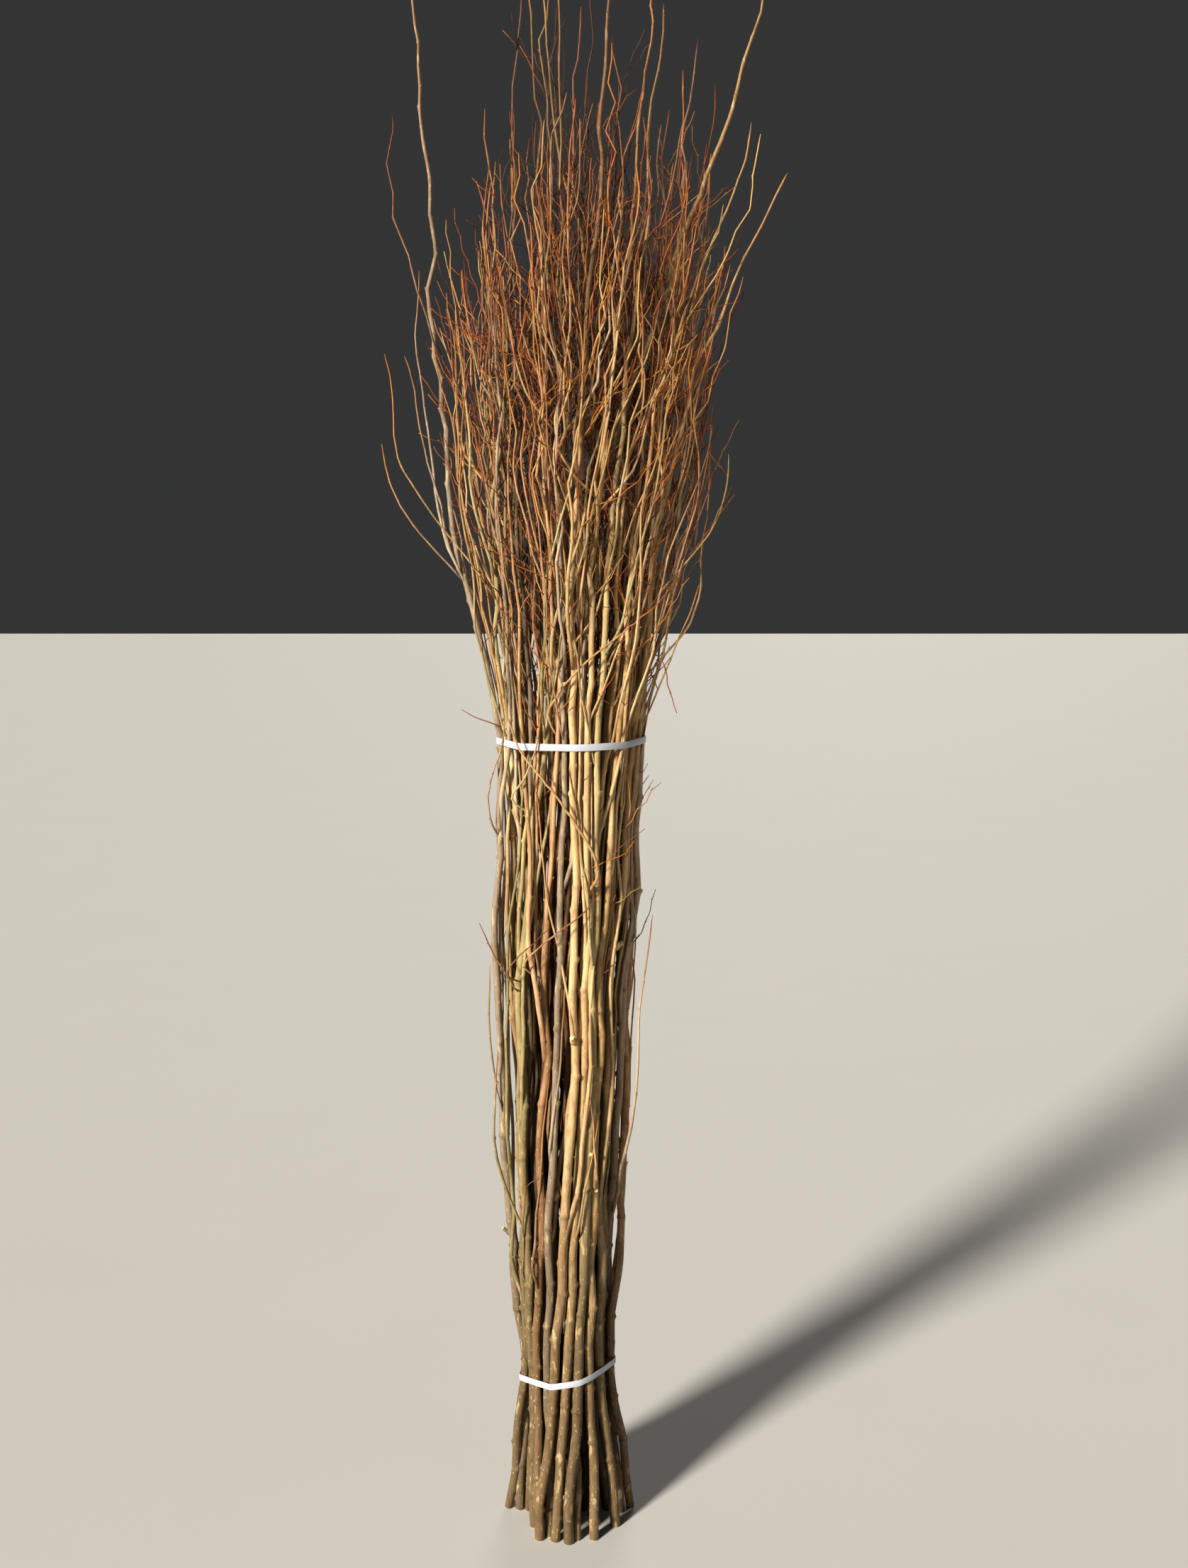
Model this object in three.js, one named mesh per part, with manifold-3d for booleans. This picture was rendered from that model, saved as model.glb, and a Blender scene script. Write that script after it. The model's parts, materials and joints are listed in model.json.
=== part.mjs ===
// A tall tied bundle of cut willow-like rods, standing on its cut ends and held by two flat plastic bands.
// Every rod is one solid with its side branches and pruned stubs grown on, and the second limb of a main fork
// is a solid of its own.
// Millimetres, +Z up, the front of the bundle faces -Y. The origin is the middle of the cut end of stem_01.

import * as THREE from 'three';
import { mergeVertices } from 'three/addons/utils/BufferGeometryUtils.js';
import Module from 'manifold-3d';

// Driving dimensions
const LOWER_STRAP_HEIGHT = 258;
const UPPER_STRAP_HEIGHT = 1317;
const BUNDLE_HEIGHT = 2500;
const STRAP_WIDTH = 10.5;
const STRAP_THICKNESS = 0.7;
const STRAP_LAP = 46;
const STRAP_LAP_PLACE = { right: 20, back: [40, 240] };
const LOWER_STRAP_SLOPE = { x: 0.19, y: -0.12 };
const UPPER_STRAP_SLOPE = { x: 0.012, y: 0.01 };
const BUTT_RADIUS = 8;
const TIP_RADIUS = 1.2;
const TOUCHING_GAP = 0.35;
const SPARE_GAP = 0.3;
const TIE_SLACK = 12;
const STRAIGHTENING = 0.12;
const NEAR = 70;
const FORK_CLEARANCE = 30;
const STEM_SIDES = 5;
const BRANCH_SIDES = 3;

// Thickness of a rod by share of its height: nearly even up to its first forks, then thinner and thinner
const TAPER = [[0, 1], [0.2, 0.94], [0.29, 0.83], [0.4, 0.69], [0.53, 0.61], [0.7, 0.44], [0.85, 0.25],
  [1, 0.15]];

// The strongest rods stay thick well into the crown
const STRONG_TAPER = [[0, 1], [0.2, 0.94], [0.29, 0.83], [0.4, 0.72], [0.53, 0.65], [0.7, 0.53], [0.88, 0.36],
  [1, 0.15]];

// Heights at which every rod has a ring of points. Between two of them a rod runs straight.
const LEVELS = [0, 130, LOWER_STRAP_HEIGHT, 440, 660, 880, 1100, UPPER_STRAP_HEIGHT, 1490, 1690, 1930, 2200,
  BUNDLE_HEIGHT];

// Half the width of the bundle by height: splayed feet, a waist at each strap, a wide crown
const HALF_WIDTH = [[0, 102], [LOWER_STRAP_HEIGHT, 66], [620, 96], [1020, 116], [UPPER_STRAP_HEIGHT, 105],
  [1480, 138], [1730, 180], [1950, 205], [2280, 200], [BUNDLE_HEIGHT, 185]];

// How far the middle of the bundle lies to the right by height: it bows to the left between the straps
const MIDDLE_DRIFT = [[0, -3], [LOWER_STRAP_HEIGHT, -8], [620, -15], [1020, -8], [UPPER_STRAP_HEIGHT, 1],
  [1850, 12], [2200, 22]];

// The rods that show in front, from left to right. Each path is [height, distance to the right].
// front says how near a rod lies to the bundle's front: 1 is the very front, 0 the middle, -1 the back.
const FRONT_STEMS = [
  { name: 'stem_02', front: 0.25, top: 2500, butt: 7.6, bark: 'grey', taper: STRONG_TAPER,
    path: [[0, -92], [258, -79], [430, -100], [820, -118], [1020, -127], [1317, -108], [1480, -148],
      [1660, -190], [1850, -206], [2280, -214], [2500, -240]] },
  { name: 'stem_03', front: 0.5, top: 2440, butt: 7.4, bark: 'olive',
    path: [[0, -106], [130, -98], [258, -80], [620, -82], [1020, -56], [1180, -75], [1317, -98], [1480, -122],
      [1660, -124], [1850, -84], [2060, -86], [2440, -70]] },
  { name: 'stem_04', front: 0.75, top: 2500, butt: 8.2, bark: 'olive', taper: STRONG_TAPER,
    path: [[0, -62], [258, -67], [430, -76], [620, -72], [820, -88], [1020, -90], [1180, -48], [1317, -33],
      [1480, -14], [1660, 28], [1850, 90], [2060, 164], [2280, 248], [2500, 318]] },
  { name: 'stem_05', front: 0.85, top: 2480, butt: 7.8, bark: 'russet',
    path: [[0, -56], [258, -60], [620, -49], [820, -38], [1020, -46], [1317, -18], [1660, -40], [1850, -36],
      [2060, -30], [2480, -64]] },
  { name: 'stem_06', front: 0.95, top: 2390, butt: 7.4, bark: 'grey',
    path: [[0, -40], [258, -42], [620, -36], [820, -18], [1020, -17], [1317, -6], [1660, -16], [2060, -26],
      [2390, -38]] },
  { name: 'stem_07', front: 1, top: 2500, butt: 8.4, bark: 'tan', taper: STRONG_TAPER,
    path: [[0, -50], [130, -40], [258, -28], [430, -16], [620, -2], [820, 7], [1317, 5], [1480, 0],
      [1850, 13], [2060, 44], [2280, 55], [2500, 60]] },
  { name: 'stem_08', front: 1, top: 2470, butt: 7.8, bark: 'tan',
    path: [[0, -28], [130, -21], [258, -9], [430, 2], [620, 12], [820, 25], [1020, 33], [1317, 26],
      [1660, 36], [1850, 60], [2060, 94], [2280, 114], [2470, 126]] },
  { name: 'stem_09', front: 1, top: 2380, butt: 8.6, bark: 'olive',
    path: [[0, -4], [258, 11], [430, 16], [620, 24], [1020, 38], [1317, 37], [1660, 62], [1850, 82],
      [2060, 110], [2380, 138]] },
  { name: 'stem_10', front: 1, top: 2240, butt: 8.2, bark: 'tan',
    path: [[0, 36], [130, 37], [258, 24], [430, 24], [620, 36], [1020, 44], [1180, 66], [1317, 73],
      [1660, 96], [1850, 122], [2060, 188], [2240, 306]] },
  { name: 'stem_11', front: 0.9, top: 2170, butt: 8.4, bark: 'tan',
    path: [[0, 72], [130, 57], [258, 40], [430, 43], [820, 57], [1020, 62], [1180, 92], [1317, 100],
      [1660, 126], [1850, 150], [2000, 240], [2170, 338]] },
  { name: 'stem_12', front: 0.35, top: 2360, butt: 8, bark: 'grey',
    path: [[0, 84], [258, 58], [430, 62], [620, 64], [820, 71], [1020, 102], [1317, 113], [1660, 118],
      [1850, 132], [2060, 160], [2360, 196]] },
  { name: 'stem_13', front: -0.55, top: 2330, butt: 7.2, bark: 'russet',
    path: [[0, 92], [130, 80], [258, 62], [620, 82], [1020, 96], [1317, 96], [1660, 138], [2060, 176],
      [2330, 172]] },
  { name: 'stem_14', front: 0.95, top: 2330, butt: 6.2, bark: 'tan',
    path: [[0, 8], [258, 6], [430, -10], [620, -15], [820, 8], [1020, 24], [1180, 44], [1317, 61], [1480, 72],
      [1850, 84], [2060, 76], [2330, 66]] },
];

// The rods that only show between the front ones or from the other sides, in rings round the middle one
const FILLER_RINGS = [
  { count: 13, share: 0.9, from: -0.06 * Math.PI, to: 1.06 * Math.PI },
  { count: 11, share: 0.62, from: 0, to: 2 * Math.PI },
  { count: 6, share: 0.3, from: 0, to: 2 * Math.PI },
];

// Second limbs of the main forks. Paths are [height, right, back] and the first height is the fork.
const LIMBS = [
  { of: 'stem_02', path: [[1120, -124, -20], [1317, -96, -40], [1660, -108, -60], [2140, -120, -80]] },
  { of: 'stem_03', path: [[1570, -124, -40], [1660, -140, -60], [1960, -170, -80]] },
  { of: 'stem_05', path: [[790, -38, -85], [1020, -68, -90], [1317, -72, -82], [1900, -96, -100]] },
  { of: 'stem_07', path: [[1985, 34, -110], [2060, 2, -116], [2280, -30, -112], [2420, -42, -110]] },
  { of: 'stem_14', path: [[1140, 40, -95], [1317, 80, -78], [1660, 100, -90], [2250, 120, -60]] },
  { of: 'stem_12', path: [[1410, 118, -24], [1490, 144, -30], [1660, 160, -30], [2200, 215, 0]] },
];
const LIMB_SHARE = 0.76;
const STRAY_SHARE = 0.48;
const CLIMBER_SHARE = 0.6;
const BRANCH_SHARE = 0.62;

// Stray shoots that leave the bundle's outline, as limbs but grown on their rod
const STRAYS = [
  { of: 'stem_02', path: [[668, -108, -24], [740, -134, -30], [850, -140, -26], [960, -124, -40]] },
  { of: 'stem_04', path: [[500, -74, -60], [590, -116, -62], [690, -129, -58], [830, -112, -70]] },
  { of: 'stem_12', path: [[505, 66, -30], [600, 84, -56], [820, 104, -48], [1040, 134, -30]] },
  { of: 'stem_02', path: [[1500, -152, -30], [1580, -178, -34], [1695, -268, -50], [1770, -306, -60]] },
  { of: 'stem_03', path: [[1540, -124, -50], [1660, -208, -60], [1800, -280, -70], [1900, -288, -64]] },
  { of: 'stem_02', path: [[1620, -182, -30], [1706, -206, -40], [1800, -254, -30], [1900, -258, -24]] },
  { of: 'stem_02', path: [[1900, -207, -30], [2012, -218, -40], [2146, -238, -44], [2240, -302, -50]] },
  { of: 'stem_12', path: [[1340, 114, -20], [1460, 146, -24], [1630, 168, -40], [1750, 198, -50]] },
  { of: 'stem_11', path: [[1500, 116, -60], [1565, 178, -64], [1650, 214, -60], [1755, 260, -50]] },
  { of: 'stem_04', path: [[1350, -30, -70], [1440, 18, -90], [1510, 106, -84], [1580, 170, -70]] },
];

// Fillers: how far round the bundle each turns on its way up and in the crown, how far out it leans there,
// how far it wanders, how thick its butt is and how high it reaches. Rods of the outer rings end lower, so
// the crown is a dome.
const FILLER_TWISTS = [-0.3, 0.3];
const FILLER_LEANS = [0.75, 1.12];
const CROWN_TWISTS = [-0.45, 0.45];
const WANDER = 9;
const CROWN_WANDER = 24;
const FILLER_BUTTS = [6.4, 8.6];
const TALL_FILLERS = 0.1;
const TALL_TOPS = [2400, 2490];
const FILLER_TOPS = [2080, 2420];
const DOME_DROP = 140;

// Limbs, branches and pruned stubs that no path is traced for
const FILLER_LIMBS = 6;
const LIMB_STARTS = [700, 1650];
const LIMB_LENGTHS = [700, 950];
const LIMB_SPREADS = [50, 90];
const LIMB_TURNS = [-0.8, 0.8];
const CLIMBERS = 18;
const CLIMBER_STARTS = [470, 1120];
const CLIMBER_LENGTHS = [750, 1150];
const CLIMBER_ASIDE = [15, 26];
const BELOW_TOP = 60;
const BRANCHES_PER_STEM = 0.75;
const LOWEST_BRANCH = 1340;
const BRANCH_ROOM = 330;
const BRANCH_LENGTHS = [260, 560];
const BRANCH_SPREADS = [45, 105];
const BRANCH_TURNS = [-1.1, 1.1];
const STUB_COUNT = 18;
const STUB_HEIGHTS = [300, 1560];
const STUB_RADII = [2.6, 3.8];
const STUB_LENGTHS = [15, 21];
const STUB_TURNS = [-0.3, 0.3];
const STUB_SLOPE = 0.75;
const STUB_DEPTH = 24;
const STUB_CLEARANCE = 40;
const HIGHEST_BRANCH = 2330;

// Bark by kind. The fillers take the kinds in turn.
const BARK_COLOURS = { tan: '#b39461', olive: '#8f8558', grey: '#8d8070', russet: '#9c6b43' };
const FILLER_BARKS = ['tan', 'olive', 'tan', 'grey', 'tan', 'russet'];
const STRAP_COLOUR = '#e6e8ea';

const wasm = await Module();
wasm.setup();

// A small seeded generator, so that the bundle grows the same way every time
function makeRandom(seed) {
  let state = seed;
  return () => {
    state = (state + 0x6d2b79f5) | 0;
    let mixed = Math.imul(state ^ (state >>> 15), 1 | state);
    mixed = (mixed + Math.imul(mixed ^ (mixed >>> 7), 61 | mixed)) ^ mixed;
    return ((mixed ^ (mixed >>> 14)) >>> 0) / 4294967296;
  };
}
const random = makeRandom(22);
const between = (low, high) => low + (high - low) * random();

// Reads a list of [height, value, value ...] rows at any height, straight between its rows
function readAt(rows, height, column = 1) {
  if (height <= rows[0][0]) return rows[0][column];
  for (let i = 1; i < rows.length; i++) {
    const [lower, upper] = [rows[i - 1], rows[i]];
    if (height <= upper[0]) {
      return THREE.MathUtils.mapLinear(height, lower[0], upper[0], lower[column], upper[column]);
    }
  }
  return rows[rows.length - 1][column];
}

// A growing line is a rod or a branch: its own centre point at every level that it passes
function makeLine({ node, bark, parent = null, start = 0, top, aim, radius, hold, sides, tied = true }) {
  const first = parent ? LEVELS.findIndex((level) => level > start + 1) : 0;
  const last = LEVELS.findIndex((level) => level >= top);
  const points = [];
  for (let k = first; k <= last; k++) points[k] = new THREE.Vector2(...aim(Math.min(LEVELS[k], top)));
  const aimed = points.map((point) => point.clone());
  return { node, bark, parent, start, top, first, last, points, aimed, radius, hold, sides, tied };
}

// Centre of a line at any height that it passes
function centreAt(line, height) {
  if (line.parent && height < LEVELS[line.first]) {
    const part = (height - line.start) / (LEVELS[line.first] - line.start);
    return centreAt(line.parent, line.start).lerp(line.points[line.first], part);
  }
  let k = line.first;
  while (k < line.last - 1 && LEVELS[k + 1] < height) k++;
  if (k >= line.last) return line.points[line.last].clone();
  const part = (height - LEVELS[k]) / (LEVELS[k + 1] - LEVELS[k]);
  return line.points[k].clone().lerp(line.points[k + 1], part);
}

// A fork keeps off the levels, so that the rings of a rod stay whole
function clearOfLevels(height) {
  const close = LEVELS.find((level) => Math.abs(level - height) < FORK_CLEARANCE);
  return close === undefined ? height : close + FORK_CLEARANCE;
}

function stemRadius(butt, top, taper = TAPER) {
  return (height) => Math.max(TIP_RADIUS, butt * readAt(taper, height / top));
}

function branchRadius(parent, start, top, share) {
  const base = parent.radius(start) * share;
  return (height) => THREE.MathUtils.mapLinear(Math.min(height, top), start, top, base, TIP_RADIUS * 0.8);
}

// How deep a front rod lies, from how far it is to the side and how near the front
function depthAt(place, height, front) {
  const across = place - readAt(MIDDLE_DRIFT, height);
  const reach = readAt(HALF_WIDTH, height) - BUTT_RADIUS;
  const calm = THREE.MathUtils.mapLinear(THREE.MathUtils.clamp(height, 1300, 2300), 1300, 2300, 1, 0.55);
  return -front * calm * Math.sqrt(Math.max(reach * reach - across * across, 0));
}

const lines = [];
const stems = new Map();

function addStem(line) {
  lines.push(line);
  stems.set(line.node, line);
}

// The middle rod stands on the origin
const MIDDLE_PATH = [[0, 0, 0], [1317, 6, 12], [2430, 30, 20]];
addStem(makeLine({ node: 'stem_01', bark: 'olive', top: 2430, radius: stemRadius(8.2, 2430), hold: 0.05,
  sides: STEM_SIDES, aim: (height) => [readAt(MIDDLE_PATH, height, 1), readAt(MIDDLE_PATH, height, 2)] }));

for (const stem of FRONT_STEMS) {
  addStem(makeLine({ node: stem.name, bark: stem.bark, top: stem.top, hold: 0.2, sides: STEM_SIDES,
    radius: stemRadius(stem.butt, stem.top, stem.taper),
    aim: (height) => {
      const across = readAt(stem.path, height);
      return [across, depthAt(across, height, stem.front)];
    } }));
}

// Fillers keep their place round the middle, wander a little, and lean out in the crown
for (const ring of FILLER_RINGS) {
  for (let i = 0; i < ring.count; i++) {
    const angle = ring.from + (ring.to - ring.from) * (i + between(0.3, 0.7)) / ring.count;
    const twist = between(...FILLER_TWISTS);
    const lean = between(...FILLER_LEANS);
    const crownTwist = between(...CROWN_TWISTS);
    const wander = LEVELS.map((level) => {
      const most = level > UPPER_STRAP_HEIGHT ? CROWN_WANDER : WANDER;
      return [level, between(-most, most), between(-most, most)];
    });
    const isTall = random() < TALL_FILLERS;
    const top = isTall ? between(...TALL_TOPS) : between(...FILLER_TOPS) - ring.share * DOME_DROP;
    const butt = between(...FILLER_BUTTS);
    const node = `stem_${String(stems.size + 1).padStart(2, '0')}`;
    const bark = FILLER_BARKS[stems.size % FILLER_BARKS.length];
    addStem(makeLine({ node, bark, top, radius: stemRadius(butt, top), hold: 0.04, sides: STEM_SIDES,
      aim: (height) => {
        const crown = THREE.MathUtils.smoothstep(height, UPPER_STRAP_HEIGHT, 2000);
        const reach = (readAt(HALF_WIDTH, height) - butt) * ring.share * THREE.MathUtils.lerp(1, lean, crown);
        const turned = angle + twist * height / BUNDLE_HEIGHT + crownTwist * crown;
        return [readAt(MIDDLE_DRIFT, height) + reach * Math.cos(turned) + readAt(wander, height, 1),
          reach * Math.sin(turned) + readAt(wander, height, 2)];
      } }));
  }
}

// Limbs of main forks: the traced ones, then some on the rods at the sides and back
const limbs = [];
function addLimb(parent, start, top, aim, share) {
  const line = makeLine({ node: `${parent.node}_limb`, bark: parent.bark, parent, start, top, aim,
    hold: 0.12, sides: STEM_SIDES, radius: branchRadius(parent, start, top, share) });
  lines.push(line);
  limbs.push(line);
}
for (const limb of LIMBS) {
  const [start, top] = [clearOfLevels(limb.path[0][0]), limb.path[limb.path.length - 1][0]];
  const aim = (height) => [readAt(limb.path, height, 1), readAt(limb.path, height, 2)];
  addLimb(stems.get(limb.of), start, top, aim, LIMB_SHARE);
}

// Aims a branch outwards and up from where it leaves its rod
function outwardAim(parent, start, top, spread, turn) {
  const foot = new THREE.Vector2(...parent.aimed[parent.first]);
  const origin = centreAt(parent, start);
  const angle = Math.atan2(origin.y + foot.y * 0.2, origin.x + foot.x * 0.2) + turn;
  return (height) => {
    const rise = (height - start) / (top - start);
    const out = spread * (0.25 + 0.75 * rise);
    const carrier = centreAt(parent, Math.min(height, parent.top));
    return [carrier.x + out * Math.cos(angle), carrier.y + out * Math.sin(angle)];
  };
}

const stemList = [...stems.values()];
const backStems = stemList.filter((line) => line.points[LEVELS.indexOf(UPPER_STRAP_HEIGHT)].y > 20);
for (let i = 0; i < FILLER_LIMBS; i++) {
  const parent = backStems[Math.floor((i + 0.5) * backStems.length / FILLER_LIMBS)];
  const start = clearOfLevels(between(...LIMB_STARTS));
  const top = Math.min(parent.top - BELOW_TOP, start + between(...LIMB_LENGTHS));
  const aim = outwardAim(parent, start, top, between(...LIMB_SPREADS), between(...LIMB_TURNS));
  addLimb(parent, start, top, aim, LIMB_SHARE);
}

for (const stray of STRAYS) {
  const parent = stems.get(stray.of);
  const [start, top] = [clearOfLevels(stray.path[0][0]), stray.path[stray.path.length - 1][0]];
  lines.push(makeLine({ node: stray.of, parent, start, top, hold: 0.35, sides: BRANCH_SIDES, tied: false,
    radius: branchRadius(parent, start, top, STRAY_SHARE),
    aim: (height) => [readAt(stray.path, height, 1), readAt(stray.path, height, 2)] }));
}

// Aims a branch along its rod, a little way round the bundle from it
function besideAim(parent, aside) {
  return (height) => {
    const carrier = centreAt(parent, Math.min(height, parent.top));
    return carrier.rotateAround(new THREE.Vector2(), aside / carrier.length()).toArray();
  };
}

// Branches of the outer rods that leave low down and climb between their neighbours to the crown
const outerStems = stemList.slice(1, 28);
for (let i = 0; i < CLIMBERS; i++) {
  const parent = outerStems[Math.floor((i + 0.5) * outerStems.length / CLIMBERS)];
  const start = clearOfLevels(between(...CLIMBER_STARTS));
  const top = Math.min(parent.top - BELOW_TOP, start + between(...CLIMBER_LENGTHS));
  const aside = between(...CLIMBER_ASIDE) * (i % 2 ? 1 : -1);
  lines.push(makeLine({ node: parent.node, parent, start, top, hold: 0.1, sides: BRANCH_SIDES,
    radius: branchRadius(parent, start, top, CLIMBER_SHARE), aim: besideAim(parent, aside) }));
}

// Side branches of the crown, spread over all the rods
const branchCount = Math.round(stemList.length * BRANCHES_PER_STEM);
for (let i = 0; i < branchCount; i++) {
  const parent = stemList[i % stemList.length];
  const start = clearOfLevels(between(LOWEST_BRANCH, parent.top - BRANCH_ROOM));
  const top = Math.min(start + between(...BRANCH_LENGTHS), parent.top - BELOW_TOP / 3, HIGHEST_BRANCH);
  lines.push(makeLine({ node: parent.node, parent, start, top, hold: 0.1, sides: BRANCH_SIDES, tied: false,
    radius: branchRadius(parent, start, top, BRANCH_SHARE),
    aim: outwardAim(parent, start, top, between(...BRANCH_SPREADS), between(...BRANCH_TURNS)) }));
}

// Pushes two lines apart where they run closer than their thickness between two levels
function pushApart(a, b, lower, upper) {
  const [ends, starts] = [[centreAt(a, upper), centreAt(b, upper)], [centreAt(a, lower), centreAt(b, lower)]];
  const low = starts[1].clone().sub(starts[0]);
  const step = ends[1].clone().sub(ends[0]).sub(low);
  const part = THREE.MathUtils.clamp(-low.dot(step) / (step.lengthSq() + 1e-9), 0, 1);
  let worst = 0;
  for (const share of [0, part, 1]) {
    const height = THREE.MathUtils.lerp(lower, upper, share);
    const apart = low.clone().addScaledVector(step, share);
    const wanted = a.radius(height) + b.radius(height) + TOUCHING_GAP + SPARE_GAP;
    const missing = wanted - apart.length();
    if (missing <= 0) continue;
    worst = Math.max(worst, missing);
    const push = apart.normalize().multiplyScalar(missing * 0.5);
    nudge(a, height, push.clone().negate());
    nudge(b, height, push);
  }
  return worst;
}

// Moves a line near one height by moving the level points above and below it, or its rod at a fork
function nudge(line, height, push) {
  if (line.parent && height < LEVELS[line.first]) {
    const away = (height - line.start) / (LEVELS[line.first] - line.start);
    const total = away * away + (1 - away) * (1 - away);
    nudge(line.parent, line.start, push.clone().multiplyScalar((1 - away) / total));
    line.points[line.first].addScaledVector(push, away / total);
    return;
  }
  let k = line.first;
  while (k < line.last && LEVELS[k + 1] < height) k++;
  const above = Math.min(k + 1, line.last);
  const part = THREE.MathUtils.clamp((height - LEVELS[k]) / (LEVELS[above] - LEVELS[k] || 1), 0, 1);
  const weight = part * part + (1 - part) * (1 - part);
  if (!isPinned(line, k)) line.points[k].addScaledVector(push, (1 - part) / weight);
  if (!isPinned(line, above) && above !== k) line.points[above].addScaledVector(push, part / weight);
}
const isPinned = (line, k) => line.node === 'stem_01' && k === 0 && !line.parent;

// Pairs of lines of different solids, with the stretches of height that they share
const meetings = [];
for (let i = 0; i < lines.length; i++) {
  for (let j = i + 1; j < lines.length; j++) {
    const [a, b] = [lines[i], lines[j]];
    if (a.node === b.node) continue;
    for (let k = 1; k < LEVELS.length; k++) {
      const lower = Math.max(LEVELS[k - 1], a.start, b.start);
      const upper = Math.min(LEVELS[k], a.top, b.top);
      const forked = (b.parent === a && k <= b.first) || (a.parent === b && k <= a.first);
      if (upper > lower && !forked) meetings.push([a, b, lower, upper]);
    }
  }
}

// Whether two lines run near each other anywhere in a shared stretch
function areNear([a, b, lower, upper]) {
  const low = centreAt(b, lower).sub(centreAt(a, lower));
  const high = centreAt(b, upper).sub(centreAt(a, upper));
  return Math.min(low.length(), high.length(), low.add(high).length() / 2) < NEAR;
}

// Lets the lines settle: each goes back towards its own path, straightens a little and keeps off the others
function relax(rounds, pull) {
  const near = meetings.filter(areNear);
  for (let round = 0; round < rounds; round++) {
    for (const line of lines) {
      for (let k = line.first; k <= line.last; k++) {
        if (isPinned(line, k)) continue;
        const point = line.points[k];
        point.lerp(line.aimed[k], line.hold * pull);
        if (k > line.first && k < line.last) {
          const middle = line.points[k - 1].clone().lerp(line.points[k + 1],
            (LEVELS[k] - LEVELS[k - 1]) / (LEVELS[k + 1] - LEVELS[k - 1]));
          point.lerp(middle, STRAIGHTENING * pull);
        }
        if (line.tied && LEVELS[k] <= UPPER_STRAP_HEIGHT) {
          const middle = new THREE.Vector2(readAt(MIDDLE_DRIFT, LEVELS[k]), 0);
          const reach = readAt(HALF_WIDTH, LEVELS[k]) - line.radius(LEVELS[k]) + TIE_SLACK;
          if (point.distanceTo(middle) > reach) point.sub(middle).setLength(reach).add(middle);
        }
      }
    }
    let worst = 0;
    for (const [a, b, lower, upper] of near) worst = Math.max(worst, pushApart(a, b, lower, upper));
    if (pull === 0 && worst < SPARE_GAP) return true;
  }
  return false;
}
for (let pass = 0; pass < 4; pass++) relax(30, 1);
relax(40, 0.3);
let settled = false;
for (let pass = 0; pass < 16 && !settled; pass++) settled = relax(30, 0);
if (!settled) throw new Error('the rods still press into each other');

// Turns a three.js shape into a solid that can be joined and cut
function solidOf(geometry) {
  geometry.deleteAttribute('normal');
  geometry.deleteAttribute('uv');
  const merged = mergeVertices(geometry, 1e-4);
  return new wasm.Manifold(new wasm.Mesh({
    numProp: 3,
    vertProperties: new Float32Array(merged.attributes.position.array),
    triVerts: new Uint32Array(merged.index.array),
  }));
}

function geometryOf(solid) {
  const mesh = solid.getMesh();
  const geometry = new THREE.BufferGeometry();
  geometry.setAttribute('position', new THREE.BufferAttribute(mesh.vertProperties, 3));
  geometry.setIndex(new THREE.BufferAttribute(mesh.triVerts, 1));
  geometry.computeVertexNormals();
  return geometry;
}

// A rod or branch: a many-sided prism whose rings lie level, one at each height that it passes
function growSolid(line, extra = 0) {
  const heights = [line.start];
  for (let k = line.first; k < line.last; k++) if (LEVELS[k] > line.start + 1) heights.push(LEVELS[k]);
  heights.push(line.top);
  const tube = new THREE.CylinderGeometry(1, 1, 1, line.sides, heights.length - 1).rotateX(Math.PI / 2);
  const position = tube.attributes.position;
  for (let i = 0; i < position.count; i++) {
    const row = Math.round((position.getZ(i) + 0.5) * (heights.length - 1));
    const height = heights[row];
    const centre = centreAt(line, height);
    const radius = line.radius(height) + extra;
    position.setXYZ(i, centre.x + radius * position.getX(i), centre.y + radius * position.getY(i), height);
  }
  return solidOf(tube);
}

// A pruned stub is a short peg that looks outwards and a little up from its rod
function stubAim(centre, turn) {
  const outwards = new THREE.Vector3(centre.x, centre.y, 0).normalize();
  return outwards.applyAxisAngle(new THREE.Vector3(0, 0, 1), turn).setZ(STUB_SLOPE).normalize();
}

// Whether a stub has room on its rod: no other rod or branch lies near it
function hasRoom(line, height, girth, length, turn) {
  const centre = centreAt(line, height);
  const aim = stubAim(centre, turn);
  return lines.every((other) => other.node === line.node || [0.4, 0.7, 1].every((share) => {
    const level = height + aim.z * length * share;
    if (level < other.start || level > other.top) return true;
    const place = new THREE.Vector2(centre.x + aim.x * length * share, centre.y + aim.y * length * share);
    return place.distanceTo(centreAt(other, level)) > other.radius(level) + girth * 1.6 + TOUCHING_GAP;
  }));
}

function growStub(line, height, girth, length, turn) {
  const centre = centreAt(line, height);
  const peg = new THREE.CylinderGeometry(girth * 0.9, girth, length, 4).translate(0, length / 2, 0);
  const aim = stubAim(centre, turn);
  peg.applyQuaternion(new THREE.Quaternion().setFromUnitVectors(new THREE.Vector3(0, 1, 0), aim));
  peg.translate(centre.x, centre.y, height);
  return solidOf(peg);
}

const group = new THREE.Group();

function addPiece(name, solid, colour, roughness) {
  const material = new THREE.MeshStandardMaterial({ color: colour, roughness, metalness: 0 });
  const mesh = new THREE.Mesh(geometryOf(solid), material);
  mesh.name = name;
  group.add(mesh);
}

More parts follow.
